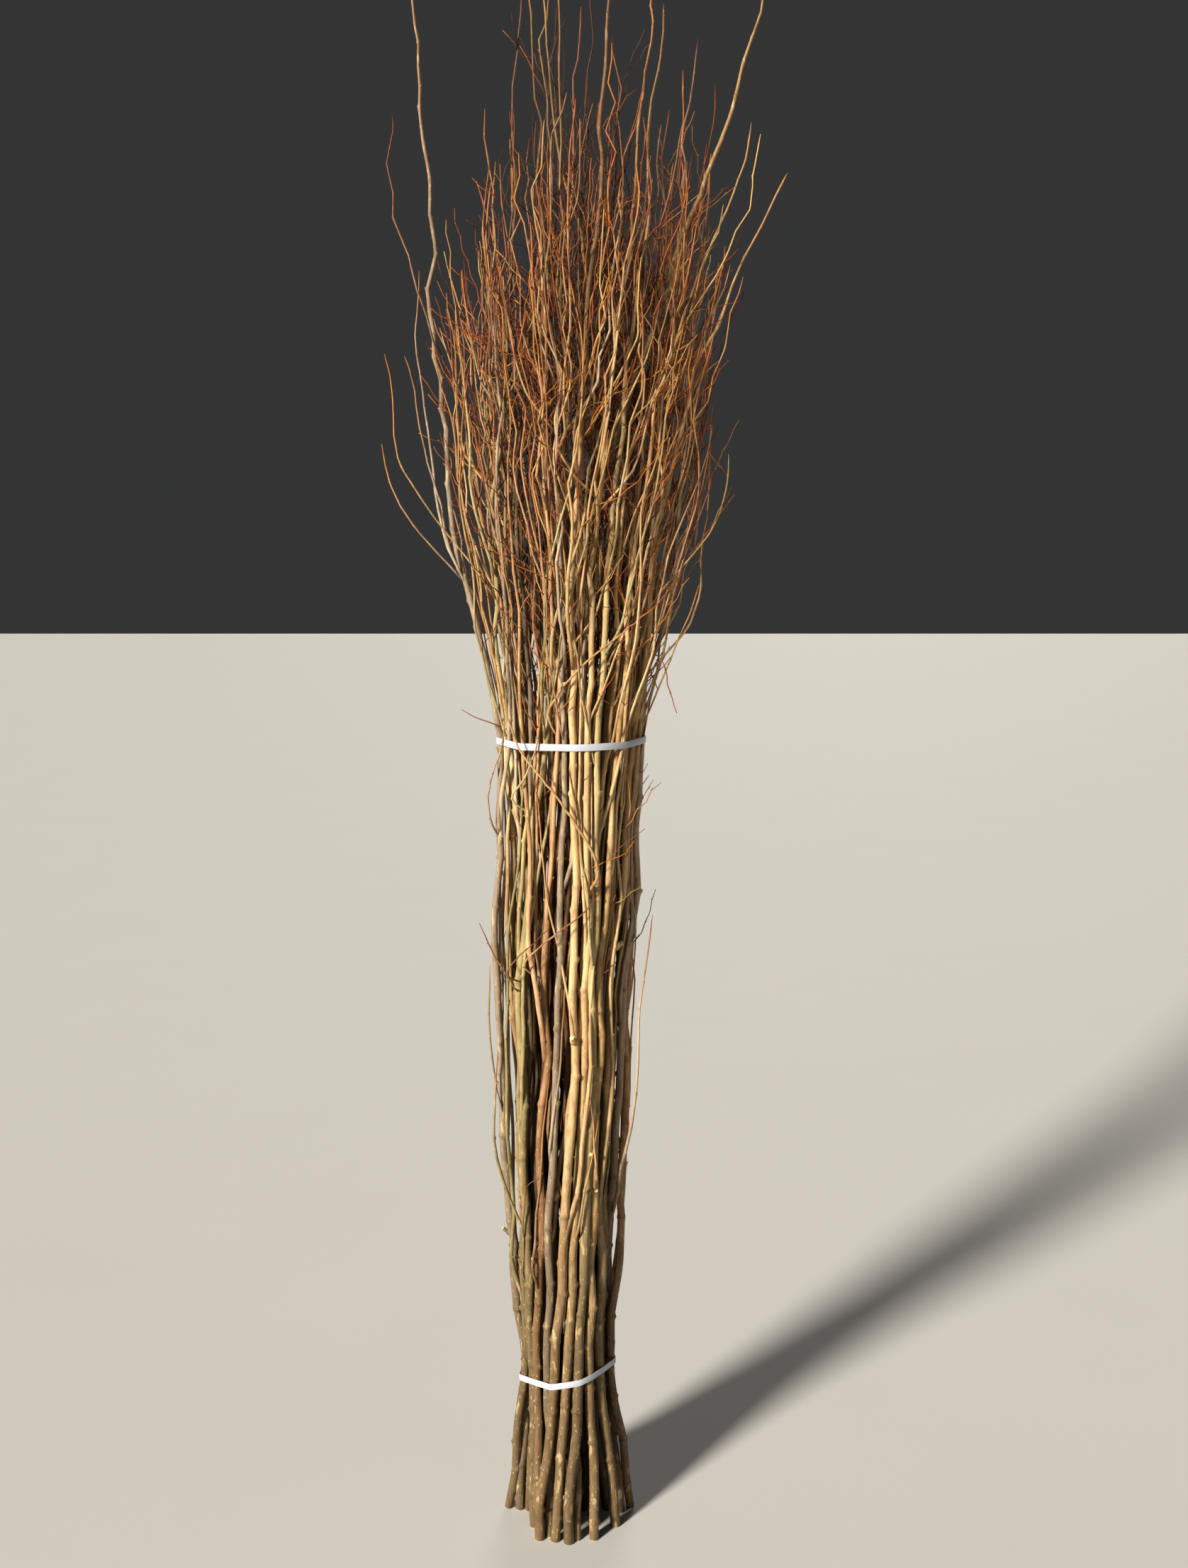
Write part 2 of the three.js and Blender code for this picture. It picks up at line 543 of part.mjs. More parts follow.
// Stubs show where nothing lies outside their rod, clear of both straps
function isOuter(line, height) {
  const middle = new THREE.Vector2(readAt(MIDDLE_DRIFT, height), 0);
  return centreAt(line, height).distanceTo(middle) > readAt(HALF_WIDTH, height) - STUB_DEPTH;
}
const stubs = [];
for (let i = 0; stubs.length < STUB_COUNT; i++) {
  const line = stemList[i % stemList.length];
  const stub = [line, between(...STUB_HEIGHTS), between(...STUB_RADII), between(...STUB_LENGTHS),
    between(...STUB_TURNS)];
  const clear = Math.abs(stub[1] - UPPER_STRAP_HEIGHT) > STUB_CLEARANCE;
  if (clear && isOuter(line, stub[1]) && hasRoom(...stub)) stubs.push(stub);
}

for (const line of stemList) {
  let solid = growSolid(line);
  for (const branch of lines.filter((other) => other.parent === line && other.node === line.node)) {
    solid = solid.add(growSolid(branch));
  }
  for (const stub of stubs.filter((other) => other[0] === line)) solid = solid.add(growStub(...stub));
  addPiece(line.node, solid, BARK_COLOURS[line.bark], 0.85);
}

// A limb starts on the bark of its rod, a touching gap away
for (const line of limbs) {
  const carrier = growSolid(line.parent, TOUCHING_GAP);
  addPiece(line.node, growSolid(line).subtract(carrier), BARK_COLOURS[line.bark], 0.85);
}

// Points round a set, in order, with nothing of the set outside them
function hullOf(points) {
  const sorted = [...points].sort((p, q) => p.x - q.x || p.y - q.y);
  const cross = (o, p, q) => (p.x - o.x) * (q.y - o.y) - (p.y - o.y) * (q.x - o.x);
  const half = (list) => {
    const chain = [];
    for (const point of list) {
      while (chain.length > 1 && cross(...chain.slice(-2), point) <= 0) chain.pop();
      chain.push(point);
    }
    chain.pop();
    return chain;
  };
  return [...half(sorted), ...half(sorted.reverse())];
}

// A strap lies on a sloping plane and is pulled tight round the outermost rods, just above it and just below
const STRAP_FEELERS = [-0.7 * STRAP_WIDTH, 0, 0.7 * STRAP_WIDTH];
function makeStrap(height, slope) {
  const around = (margin) => {
    const points = [];
    for (const line of lines) {
      for (const feeler of STRAP_FEELERS) {
        const middle = centreAt(line, Math.max(height, line.start));
        const level = height + slope.x * middle.x + slope.y * middle.y + feeler;
        if (level < line.start || level > line.top) continue;
        const rim = new THREE.Vector2((line.radius(level) + margin) / Math.cos(Math.PI / 8), 0);
        for (let side = 0; side < 8; side++) {
          points.push(centreAt(line, level).add(rim.rotateAround(new THREE.Vector2(), Math.PI / 4)));
        }
      }
    }
    return hullOf(points);
  };
  const settings = { depth: STRAP_WIDTH, bevelEnabled: false };
  const extrude = (shape) => solidOf(new THREE.ExtrudeGeometry(shape, settings));
  const inner = around(TOUCHING_GAP);
  const outer = around(TOUCHING_GAP + STRAP_THICKNESS);
  const band = new THREE.Shape(outer);
  band.holes.push(new THREE.Path([...inner].reverse()));
  const lapped = new THREE.Shape(around(TOUCHING_GAP + STRAP_THICKNESS * 2));
  lapped.holes.push(new THREE.Path([...around(TOUCHING_GAP + STRAP_THICKNESS * 0.5)].reverse()));
  const [near, far] = STRAP_LAP_PLACE.back;
  const lapWindow = new THREE.BoxGeometry(STRAP_LAP, far - near, STRAP_WIDTH * 3);
  lapWindow.translate(STRAP_LAP_PLACE.right, (near + far) / 2, 0);
  const strap = extrude(band).add(extrude(lapped).intersect(solidOf(lapWindow)));
  const geometry = geometryOf(strap);
  const position = geometry.attributes.position;
  for (let i = 0; i < position.count; i++) {
    const [x, y] = [position.getX(i), position.getY(i)];
    position.setZ(i, position.getZ(i) - STRAP_WIDTH / 2 + height + slope.x * x + slope.y * y);
  }
  return solidOf(geometry);
}
addPiece('strap_lower', makeStrap(LOWER_STRAP_HEIGHT, LOWER_STRAP_SLOPE), STRAP_COLOUR, 0.45);
addPiece('strap_upper', makeStrap(UPPER_STRAP_HEIGHT, UPPER_STRAP_SLOPE), STRAP_COLOUR, 0.45);

export default group;
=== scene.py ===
# %% [markdown]
# A tall bundle of cut willow-like rods, standing on its cut ends and tied by two flat plastic bands. The
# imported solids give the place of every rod, main branch and pruned stub, and how thick the rods and branches
# are. This lesson grows the real surface round them: bark, knots, buds, and the fine twigs of the crown,
# nearly two thousand of them.
# %% Load the frame
import json
import math
import random

import bmesh
import bpy
import numpy as np
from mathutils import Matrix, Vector


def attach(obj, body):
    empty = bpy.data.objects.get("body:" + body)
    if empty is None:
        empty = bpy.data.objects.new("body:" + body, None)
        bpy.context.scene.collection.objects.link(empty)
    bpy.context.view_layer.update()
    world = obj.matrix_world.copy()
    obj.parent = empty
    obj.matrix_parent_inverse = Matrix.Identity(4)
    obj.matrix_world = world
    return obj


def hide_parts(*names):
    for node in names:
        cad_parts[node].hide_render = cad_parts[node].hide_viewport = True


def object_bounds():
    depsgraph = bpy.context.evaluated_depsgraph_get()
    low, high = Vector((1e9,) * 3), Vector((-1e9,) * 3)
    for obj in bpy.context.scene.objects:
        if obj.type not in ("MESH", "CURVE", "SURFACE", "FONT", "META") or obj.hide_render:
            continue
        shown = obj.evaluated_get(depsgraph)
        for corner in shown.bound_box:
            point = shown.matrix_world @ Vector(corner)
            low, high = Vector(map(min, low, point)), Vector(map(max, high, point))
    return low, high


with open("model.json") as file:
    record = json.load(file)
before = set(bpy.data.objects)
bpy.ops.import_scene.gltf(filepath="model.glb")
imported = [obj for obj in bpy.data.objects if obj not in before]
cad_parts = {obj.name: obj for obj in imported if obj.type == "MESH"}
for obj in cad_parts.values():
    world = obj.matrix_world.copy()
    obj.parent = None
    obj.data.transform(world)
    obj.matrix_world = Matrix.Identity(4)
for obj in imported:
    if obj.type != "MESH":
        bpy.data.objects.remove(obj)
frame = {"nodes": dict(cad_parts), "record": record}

CAD_BOX = [list(corner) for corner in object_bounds()]
SLOT_OF = {row["node"]: row["material_slot"] for row in frame["record"]["subparts"]}


def put(name, data):
    """A new object in the scene."""
    made = bpy.data.objects.new(name, data)
    bpy.context.scene.collection.objects.link(made)
    return made


print("rods and bands in the frame:", len(frame["nodes"]))

# %% [markdown]
# The camera stands 2.3 m in front of the bundle, a quarter of a metre above its upper band, and looks
# slightly down. An object this tall shows perspective clearly, so the camera is fixed before any detail is
# judged. The sensor's long side is the picture's height, so the lens follows from the picture's angle.
# %% The camera
CAMERA_PLACE = (0.036, -2.3, 1.569)
CAMERA_PITCH = math.radians(8)
CAMERA_LENS = 33.53
CAMERA_SENSOR = 36.0

camera_data = bpy.data.cameras.new("camera")
camera_data.lens = CAMERA_LENS
camera_data.sensor_width = CAMERA_SENSOR
camera_data.sensor_fit = "AUTO"
camera_data.dof.use_dof = False
camera = put("camera", camera_data)
camera.location = CAMERA_PLACE
camera.rotation_euler = (math.pi / 2 - CAMERA_PITCH, 0, 0)
bpy.context.scene.camera = camera
print("camera at", CAMERA_PLACE)

# %% [markdown]
# The studio has a pale floor and soft light. One warm light from the front left models the round rods and
# leaves their right sides in shade. It is as soft as a window a few metres away, and far enough off to
# light the floor evenly. A weak light fills the shade, another shows the back of the bundle, and the pale
# surroundings do the rest.
# %% The floor and the lights
FLOOR_SIZE = 80.0
SURROUNDINGS = (0.72, 0.73, 0.74, 1)
SURROUNDINGS_STRENGTH = 0.048


def add_light(name, towards_it, softness, strength, tint):
    """A light so far away that it comes from one direction. Softness is how wide it looks, in degrees."""
    data = bpy.data.lights.new(name, "SUN")
    data.angle = math.radians(softness)
    data.energy = strength
    data.color = tint
    lamp = put(name, data)
    lamp.location = towards_it
    lamp.rotation_euler = Vector(towards_it).to_track_quat("Z", "Y").to_euler()


add_light("key_light", (-5.0, -5.3, 3.3), 9, 7.9, (1.0, 0.94, 0.85))
add_light("fill_light", (2.8, -2.4, 0.9), 40, 0.06, (0.9, 0.95, 1.0))
add_light("back_light", (1.0, 6.0, 2.6), 30, 1.1, (1.0, 0.97, 0.92))

world = bpy.data.worlds.new("studio")
world.use_nodes = True
background = world.node_tree.nodes["Background"]
background.inputs["Color"].default_value = SURROUNDINGS
background.inputs["Strength"].default_value = SURROUNDINGS_STRENGTH
bpy.context.scene.world = world
bpy.context.scene.view_settings.view_transform = "Standard"

# %% [markdown]
# Shader maths reads best as plain expressions. A Socket wraps one output of a node, so that adding or
# multiplying sockets adds the Math nodes, and Shading makes every other node from its type, its settings
# and the values or links of its inputs.
# %% A small way to write shaders
class Socket:
    """One output of a node, which can be used in Python expressions."""

    def __init__(self, shading, link):
        self.shading, self.link = shading, link

    def math(self, operation, *values, clamp=False):
        settings = {"operation": operation, "use_clamp": clamp}
        return self.shading.node("ShaderNodeMath", settings, dict(enumerate((self,) + values)))

    def __add__(self, other):
        return self.math("ADD", other)

    def __sub__(self, other):
        return self.math("SUBTRACT", other)

    def __rsub__(self, other):
        return self.shading.node("ShaderNodeMath", {"operation": "SUBTRACT"}, {0: other, 1: self})

    def __mul__(self, other):
        return self.math("MULTIPLY", other)

    __radd__ = __add__
    __rmul__ = __mul__


class Shading:
    """The nodes of one material."""

    def __init__(self, name):
        self.material = bpy.data.materials.new(name)
        self.material.use_nodes = True
        self.tree = self.material.node_tree
        self.surface = self.tree.nodes["Principled BSDF"]

    def node(self, kind, settings=None, sockets=None, out=0):
        made = self.tree.nodes.new(kind)
        for name, value in (settings or {}).items():
            if name == "stops":
                set_stops(made.color_ramp, value)
            else:
                setattr(made, name, value)
        for name, value in (sockets or {}).items():
            self.feed(made.inputs[name], value)
        return Socket(self, made.outputs[out])

    def feed(self, target, value):
        if isinstance(value, Socket):
            self.tree.links.new(value.link, target)
        else:
            target.default_value = value

    def mix(self, factor, first, second, blend="MIX"):
        settings = {"data_type": "RGBA", "blend_type": blend}
        return self.node("ShaderNodeMix", settings, {0: factor, 6: first, 7: second}, out=2)

    def ramp(self, value, stops):
        return self.node("ShaderNodeValToRGB", {"stops": stops}, {0: value})

    def smooth(self, value, low, high):
        """0 below low, 1 above high, and a soft step between them."""
        settings = {"interpolation_type": "SMOOTHSTEP"}
        return self.node("ShaderNodeMapRange", settings, {0: value, 1: low, 2: high, 3: 0.0, 4: 1.0})

    def attribute(self, name):
        return self.node("ShaderNodeAttribute", {"attribute_name": name}, out=2)

    def noise(self, place, scale, detail=2.0):
        return self.node("ShaderNodeTexNoise", {}, {"Vector": place, "Scale": scale, "Detail": detail})

    def stretched(self, scale):
        """Object coordinates, squeezed along some axes so that patterns run along the others."""
        place = self.node("ShaderNodeTexCoord", out=3)
        return self.node("ShaderNodeMapping", {}, {"Vector": place, "Scale": scale})

    def finish(self, **sockets):
        for name, value in sockets.items():
            self.feed(self.surface.inputs[name.replace("_", " ")], value)
        return self.material


def set_stops(ramp, stops):
    while len(ramp.elements) < len(stops):
        ramp.elements.new(1.0)
    for element, (place, tint) in zip(ramp.elements, stops):
        element.position = place
        element.color = tint


def tone(code):
    """A colour written as on screen, such as c9a46a, in the linear values that shaders use."""
    parts = [int(code[i:i + 2], 16) / 255 for i in (0, 2, 4)]
    return tuple(c / 12.92 if c < 0.04045 else ((c + 0.055) / 1.055) ** 2.4 for c in parts) + (1,)


print("shader helpers ready")

# %% [markdown]
# Willow bark is smooth. It is grey-brown and dull near the ground, straw, olive or peach further up, and
# turns orange to rust brown where a shoot is thinner than a pencil. It carries fine lengthwise streaks,
# pale pores and a darker ring at each knot. On a real bundle the gaps between the rods look nearly black, so
# bark deep inside the bundle, and in the core of the crown, is darkened here as painted shade. One function
# makes all four kinds of bark. It reads what each point was given while it grew: girth (radius in
# millimetres), tint (a number of its own for each shoot), knot, cut and inner (how deep the point lies in
# the bundle, which sets the painted shade).
# %% The bark
BARKS = {
    "bark_tan": ("7b6746", "e8cb95", "a88453"),
    "bark_olive": ("6c6142", "cbbd84", "8c8052"),
    "bark_grey": ("706352", "d0bfa2", "8a7862"),
    "bark_russet": ("735a3f", "dcb283", "986d45"),
}
TWIG_TONES = [(0.0, tone("4c1c05")), (0.2, tone("74300a")), (0.42, tone("9a4a0f")), (0.62, tone("ad6f20")),
              (0.8, tone("805532")), (1.0, tone("c8a05a"))]
CROWN_TONE = tone("875320")
GROUND_TONE = tone("5a472c")
# Painted shade: the colour that bark deep inside the bundle is multiplied by.
PAINTED_SHADE_TONE = (0.17, 0.125, 0.09, 1)
DARK_TONE = (0.5, 0.4, 0.3, 1)
RUDDY_TONE = (0.72, 0.6, 0.56, 1)
FRESH_WOOD = tone("ecd08a")
LENTICEL_TONE = tone("e2c68d")
TWIG_GIRTH = 0.8
ROD_GIRTH = 1.9


def make_bark(name, low, light, deep):
    shade = Shading(name)
    girth, tint = shade.attribute("girth"), shade.attribute("tint")
    knot, cut = shade.attribute("knot"), shade.attribute("cut")
    place = shade.stretched((1, 1, 1))
    height = shade.node("ShaderNodeSeparateXYZ", {}, {0: place}, out=2)

    patches = shade.noise(shade.stretched((14, 14, 4)), 1.0, 4.0)
    scuffs = shade.noise(shade.stretched((130, 130, 38)), 1.0, 3.0)
    streaks = shade.noise(shade.stretched((520, 520, 20)), 1.0, 3.0)
    pores = shade.node("ShaderNodeTexVoronoi", {"feature": "F1"},
                       {"Vector": shade.stretched((170, 170, 80)), "Scale": 1.0})
    pore = 1 - shade.smooth(pores, 0.1, 0.2)

    rod = shade.mix(shade.smooth(patches + 0.5 * tint, 0.5, 1.0), tone(light), tone(deep))
    rod = shade.mix(shade.smooth(height + 0.35 * patches + 0.35 * tint, 1.2, 0.4) * 0.8, rod, tone(low))
    rod = shade.mix(shade.smooth(height + 0.25 * patches, 1.0, 0.3) * 0.62, rod, GROUND_TONE)
    rod = shade.mix(shade.smooth(height - 0.5 * tint, 1.35, 2.05) * 0.6, rod, CROWN_TONE)
    ruddy = shade.mix(1.0, rod, RUDDY_TONE, "MULTIPLY")
    rod = shade.mix(shade.smooth(tint, 0.75, 0.05) * 0.9, rod, ruddy)
    twig = shade.ramp(tint, TWIG_TONES)
    slender = shade.smooth(girth, ROD_GIRTH, TWIG_GIRTH)
    skin = shade.mix(slender, rod, twig)

    dark = shade.mix(1.0, skin, DARK_TONE, "MULTIPLY")
    skin = shade.mix(shade.smooth(streaks, 0.46, 0.74) * 0.42, skin, dark)
    skin = shade.mix(shade.smooth(scuffs, 0.54, 0.66) * 0.5, skin, dark)
    skin = shade.mix(shade.smooth(scuffs, 0.42, 0.32) * (1 - slender) * 0.35, skin, LENTICEL_TONE)
    skin = shade.mix(knot * 0.5, skin, dark)
    skin = shade.mix(pore * (1 - slender) * 0.38, skin, LENTICEL_TONE)
    skin = shade.mix(cut, skin, FRESH_WOOD)
    # Painted shade: the deeper a point lies inside the bundle, the darker its bark, as if the gaps between
    # rods were in shadow.
    painted_shade = shade.mix(1.0, skin, PAINTED_SHADE_TONE, "MULTIPLY")
    skin = shade.mix(shade.smooth(shade.attribute("inner"), 0.07, 0.5), skin, painted_shade)

    relief = streaks * 0.6 + pore * 0.5 + scuffs * 0.5
    bump = shade.node("ShaderNodeBump", {}, {"Strength": 0.5, "Distance": 0.0012, "Height": relief})
    roughness = 0.48 + 0.3 * scuffs + 0.1 * cut
    return shade.finish(Base_Color=skin, Roughness=roughness, Normal=bump, Specular_IOR_Level=0.3)


BARK = {name: make_bark(name, *tones) for name, tones in BARKS.items()}
print("barks:", sorted(BARK))

# %% [markdown]
# The band is embossed white polypropylene. The emboss is fine dents that only show close up, so they are
# bump and not shape. Handling leaves faint grey rubs. The base colour is a light grey, because pure white
# would lose all shading in this light.
# %% The band's plastic
def make_band_plastic():
    shade = Shading("band_plastic")
    rubs = shade.noise(shade.stretched((30, 30, 90)), 1.0, 4.0)
    dents = shade.node("ShaderNodeTexVoronoi", {"feature": "F1"},
                       {"Vector": shade.stretched((900, 900, 900)), "Scale": 1.0})
    colour = shade.mix(shade.smooth(rubs, 0.45, 0.75) * 0.35, tone("b5bac3"), tone("959ba5"))
    bump = shade.node("ShaderNodeBump", {}, {"Strength": 0.25, "Distance": 0.0003, "Height": dents})
    return shade.finish(Base_Color=colour, Roughness=0.32 + 0.2 * rubs, Normal=bump)


BAND_PLASTIC = make_band_plastic()
print("band plastic ready")

# %% [markdown]
# Each rod's solid is a stack of level rings, joined by straight sides, with thinner stacks for its branches
# and short pegs for its pruned stubs. Reading those rings back gives the line of every rod and branch. The
# solid arrives as loose triangles, so a copy of it is merged first.
# %% Read the rods back from their solids
LEVEL_STEP = 1e-5
ROD_CORNERS = 5
STUB_SLOPE = 0.75
BAND_HEIGHTS = (0.258, 1.317)
BAND_SLOPES = ((0.19, -0.12), (0.012, 0.01))
BAND_HOLD = 0.012
CURVE_EASE = 0.07
BEND_EASE = 0.08
SEAM_GAP = 0.004
STEEPEST_RUN = 0.08
DEEPEST_FOOT = 0.05
FOOT_SWELL = 1.15


def from_bands(places):
    """How far points lie above or below the nearer band. Each band slopes a little to the side and back."""
    gaps = [np.abs(places[:, 2] - high - places[:, :2] @ np.array(slope))
            for high, slope in zip(BAND_HEIGHTS, BAND_SLOPES)]
    return np.minimum(*gaps)


def by_height(table, z):
    """The value at height z in a table of heights and values."""
    return np.interp(z, *zip(*table))


def curve(values, slopes, k, step, t):
    """The smooth curve that leaves values[k] and reaches values[k + 1] at the given slopes, at share t."""
    rise, run = slopes[k] * step, slopes[k + 1] * step
    return ((2 * t ** 3 - 3 * t ** 2 + 1) * values[k] + (t ** 3 - 2 * t ** 2 + t) * rise
            + (3 * t ** 2 - 2 * t ** 3) * values[k + 1] + (t ** 3 - t ** 2) * run)


def freedom(places, ease):
    """0 where a band holds the rods, rising to 1 over the given height beyond its hold."""
    return np.clip((from_bands(places) - BAND_HOLD) / ease, 0, 1)


class Line:
    """A rod or branch that always climbs: its middle and radius at any height, smooth between its rings."""

    def __init__(self, rings):
        rings = sorted(rings, key=lambda ring: ring[2])
        self.z = np.array([ring[2] for ring in rings])
        self.xy = np.array([[ring[0], ring[1]] for ring in rings])
        self.radius = np.array([ring[3] for ring in rings])
        self.slope = np.gradient(self.xy, self.z, axis=0)

    def at(self, heights):
        """Middles at the given heights: a smooth curve through the rings, straight where a band pinches."""
        heights = np.atleast_1d(heights)
        k = np.clip(np.searchsorted(self.z, heights, side="right") - 1, 0, len(self.z) - 2)
        step = (self.z[k + 1] - self.z[k])[:, None]
        t = ((heights - self.z[k]) / step[:, 0])[:, None]
        straight = self.xy[k] + (self.xy[k + 1] - self.xy[k]) * t
        smooth = curve(self.xy, self.slope, k, step, t)
        places = np.column_stack([straight, heights])
        places[:, :2] += (smooth - straight) * freedom(places, CURVE_EASE)[:, None]
        return places

    def radius_at(self, heights):
        return np.interp(heights, self.z, self.radius)


def groups_of(members, neighbours):
    """Sorts members into connected groups."""
    left, groups = set(members), []
    for seed in members:
        if seed not in left:
            continue
        left.discard(seed)
        group, queue = [seed], [seed]
        while queue:
            for other in neighbours[queue.pop()]:
                if other in left:
                    left.discard(other)
                    group.append(other)
                    queue.append(other)
        groups.append(group)
    return groups


def merged_points(node):
    """The points of a node, and for each its neighbours at the same height and at other heights."""
    bm = bmesh.new()
    bm.from_mesh(frame["nodes"][node].data)
    bmesh.ops.remove_doubles(bm, verts=bm.verts, dist=LEVEL_STEP)
    bm.verts.index_update()
    points = np.array([vert.co for vert in bm.verts])
    level, upright = [[] for _ in points], [[] for _ in points]
    for edge in bm.edges:
        a, b = (vert.index for vert in edge.verts)
        kind = level if abs(points[a][2] - points[b][2]) < LEVEL_STEP else upright
        kind[a].append(b)
        kind[b].append(a)
    bm.free()
    return points, level, upright


def chains_of(rings):
    """Sorts the rings of branches that touch into one chain for each, by where each chain is heading."""
    chains = []
    for z in sorted({round(ring[2], 3) for ring in rings}):
        level = [ring for ring in rings if round(ring[2], 3) == z]
        pairs = sorted((math.dist(heading(chain, z), ring[:2]), k, i)
                       for k, chain in enumerate(chains) for i, ring in enumerate(level))
        taken = set()
        for _, k, i in pairs:
            if ("chain", k) not in taken and ("ring", i) not in taken:
                taken |= {("chain", k), ("ring", i)}
                chains[k].append(level[i])
        chains += [[ring] for i, ring in enumerate(level) if ("ring", i) not in taken]
    return chains


def heading(chain, z):
    """Where a chain of rings would be at a height above it, if it kept its direction."""
    last = np.array(chain[-1][:3])
    if len(chain) == 1:
        return last[:2]
    slope = (last - chain[-2][:3])[:2] / (last[2] - chain[-2][2])
    return last[:2] + slope * (z - last[2])


def foot_of(line, spots, chain):
    """Where a branch springs from the middle of its rod, just under the place where it leaves the bark."""
    lowest = min(chain, key=lambda ring: ring[2])
    leaves = spots[spots[:, 2] < lowest[2] - SEAM_GAP].mean(axis=0)
    run = np.hypot(lowest[0] - leaves[0], lowest[1] - leaves[1]) / max(lowest[2] - leaves[2], 0.01)
    drop = min(line.radius_at(leaves[2])[()] / max(run, STEEPEST_RUN), DEEPEST_FOOT)
    return (*line.at(leaves[2] - drop)[0], lowest[3] * FOOT_SWELL, 3)


def read_rod(node):
    """The main line of a rod or limb, the lines of its branches, and its stubs as pairs of end and middle."""
    points, level, upright = merged_points(node)
    rings, ring_of = [], {}
    for group in groups_of(range(len(points)), level):
        if len(group) < 3:
            continue
        middle = points[group].mean(axis=0)
        for vert in group:
            ring_of[vert] = len(rings)
        rings.append((*middle, np.linalg.norm(points[group] - middle, axis=1).max(), len(group)))

    joined = [set() for _ in rings]
    for a, others in enumerate(upright):
        joined_rings = {ring_of[b] for b in others if b in ring_of}
        if a in ring_of:
            joined[ring_of[a]] |= joined_rings - {ring_of[a]}
    groups = groups_of(range(len(rings)), joined)
    stacks = [([rings[k] for k in group], set(group)) for group in groups]
    thick = [stack for stack in stacks if max(ring[4] for ring in stack[0]) >= ROD_CORNERS]
    thin = [stack for stack in stacks if stack not in thick]
    main = [ring for stack, _ in thick for ring in stack if ring[4] >= ROD_CORNERS]

    loose = [k for k in range(len(points)) if k not in ring_of]
    if node.endswith("limb"):
        carrier = RODS[node.replace("_limb", "")][0]
        return Line([foot_of(carrier, points[loose], main)] + main), [], []
    line = Line(main)
    near = [[b for b in level[k] + upright[k] if b not in ring_of] for k in range(len(points))]
    seams = groups_of(loose, near)
    touches = [{ring_of[b] for k in seam for b in upright[k] + level[k] if b in ring_of} for seam in seams]
    branches, stubs = [], []
    for stack, rows in thin:
        feet = [points[seam] for seam, touched in zip(seams, touches) if touched & rows]
        for chain in chains_of(stack):
            below = [spots for spots in feet if spots[:, 2].min() < chain[0][2] - SEAM_GAP]
            if below:
                spots = min(below, key=lambda spots: math.dist(spots.mean(axis=0), chain[0][:3]))
                feet = [other for other in feet if other is not spots]
                branches.append(Line([foot_of(line, spots, chain)] + chain))
    for seam, touched in zip(seams, touches):
        if not any(touched & rows for _, rows in thin):
            spots = points[seam]
            away = np.linalg.norm(spots[:, :2] - line.at(spots[:, 2])[:, :2], axis=1)
            end = spots[away > away.max() - SEAM_GAP].mean(axis=0)
            stubs.append((end, line.at(end[2] - STUB_SLOPE * away.max())[0]))
    return line, branches, stubs


RODS = {}
for node in sorted(frame["nodes"]):
    if node.startswith("stem"):
        RODS[node] = read_rod(node)
print("branches:", sum(len(branches) for _, branches, _ in RODS.values()))
print("pruned stubs:", sum(len(stubs) for _, _, stubs in RODS.values()))

# %% [markdown]
# Every round thing here is a tube with many rings. One unit tube is made with operators for each number of
# sides and rings: a cone of equal ends, whose upright edges are cut into rows. Each shoot then takes a copy
# of its points as an array and bends it along its own path. This is far quicker than thousands of
# extrusions.
# %% Unit shapes and how a shoot takes them
UNITS = {}


def unit_tube(sides, rows):
    """Points as (cosine, sine, row), faces, and which faces are ends, for a tube of radius 1."""
    if (sides, rows) not in UNITS:
        bm = bmesh.new()
        bmesh.ops.create_cone(bm, cap_ends=True, segments=sides, radius1=1, radius2=1, depth=rows - 1)
        upright = [edge for edge in bm.edges if abs(edge.verts[0].co.z - edge.verts[1].co.z) > 0.5]
        if rows > 2:
            bmesh.ops.subdivide_edges(bm, edges=upright, cuts=rows - 2, use_grid_fill=True)
        bmesh.ops.translate(bm, verts=bm.verts, vec=(0, 0, (rows - 1) / 2))
        UNITS[sides, rows] = arrays_of(bm)
    return UNITS[sides, rows]


def unit_bud():
    """A pointed bud of eight faces, 1 long and 1 wide, standing on its lower tip."""
    if "bud" not in UNITS:
        bm = bmesh.new()
        bmesh.ops.create_uvsphere(bm, u_segments=4, v_segments=2, radius=0.5)
        bmesh.ops.translate(bm, verts=bm.verts, vec=(0, 0, 0.5))
        widest = [vert for vert in bm.verts if 0.2 < vert.co.z < 0.8]
        bmesh.ops.translate(bm, verts=widest, vec=(0, 0, -0.15))
        UNITS["bud"] = arrays_of(bm)
    return UNITS["bud"]


def arrays_of(bm):
    bmesh.ops.recalc_face_normals(bm, faces=bm.faces)
    bm.verts.index_update()
    points = np.array([vert.co for vert in bm.verts])
    faces = [[vert.index for vert in face.verts] for face in bm.faces]
    ends = [abs(face.normal.z) > 0.9 for face in bm.faces]
    bm.free()
    return points, faces, ends


# The bundle's outer radius and its middle by height. Bark deep inside this outline gets painted shade.
BUNDLE_SURFACE = ((0.0, 0.1), (0.258, 0.072), (0.62, 0.106), (1.02, 0.122), (1.317, 0.108), (1.48, 0.132),
                  (1.73, 0.165), (1.95, 0.19), (2.28, 0.18), (2.5, 0.14))
BUNDLE_MIDDLE = ((0.0, 0.0), (0.62, -0.015), (1.317, 0.001), (2.2, 0.022))


def depth_inside(points):
    """How deep points lie: 0 on the surface of the bundle, 1 in its middle."""
    z = points[:, 2]
    away = np.hypot(points[:, 0] - by_height(BUNDLE_MIDDLE, z), points[:, 1])
    return np.clip(1 - away / by_height(BUNDLE_SURFACE, z), 0, 1)


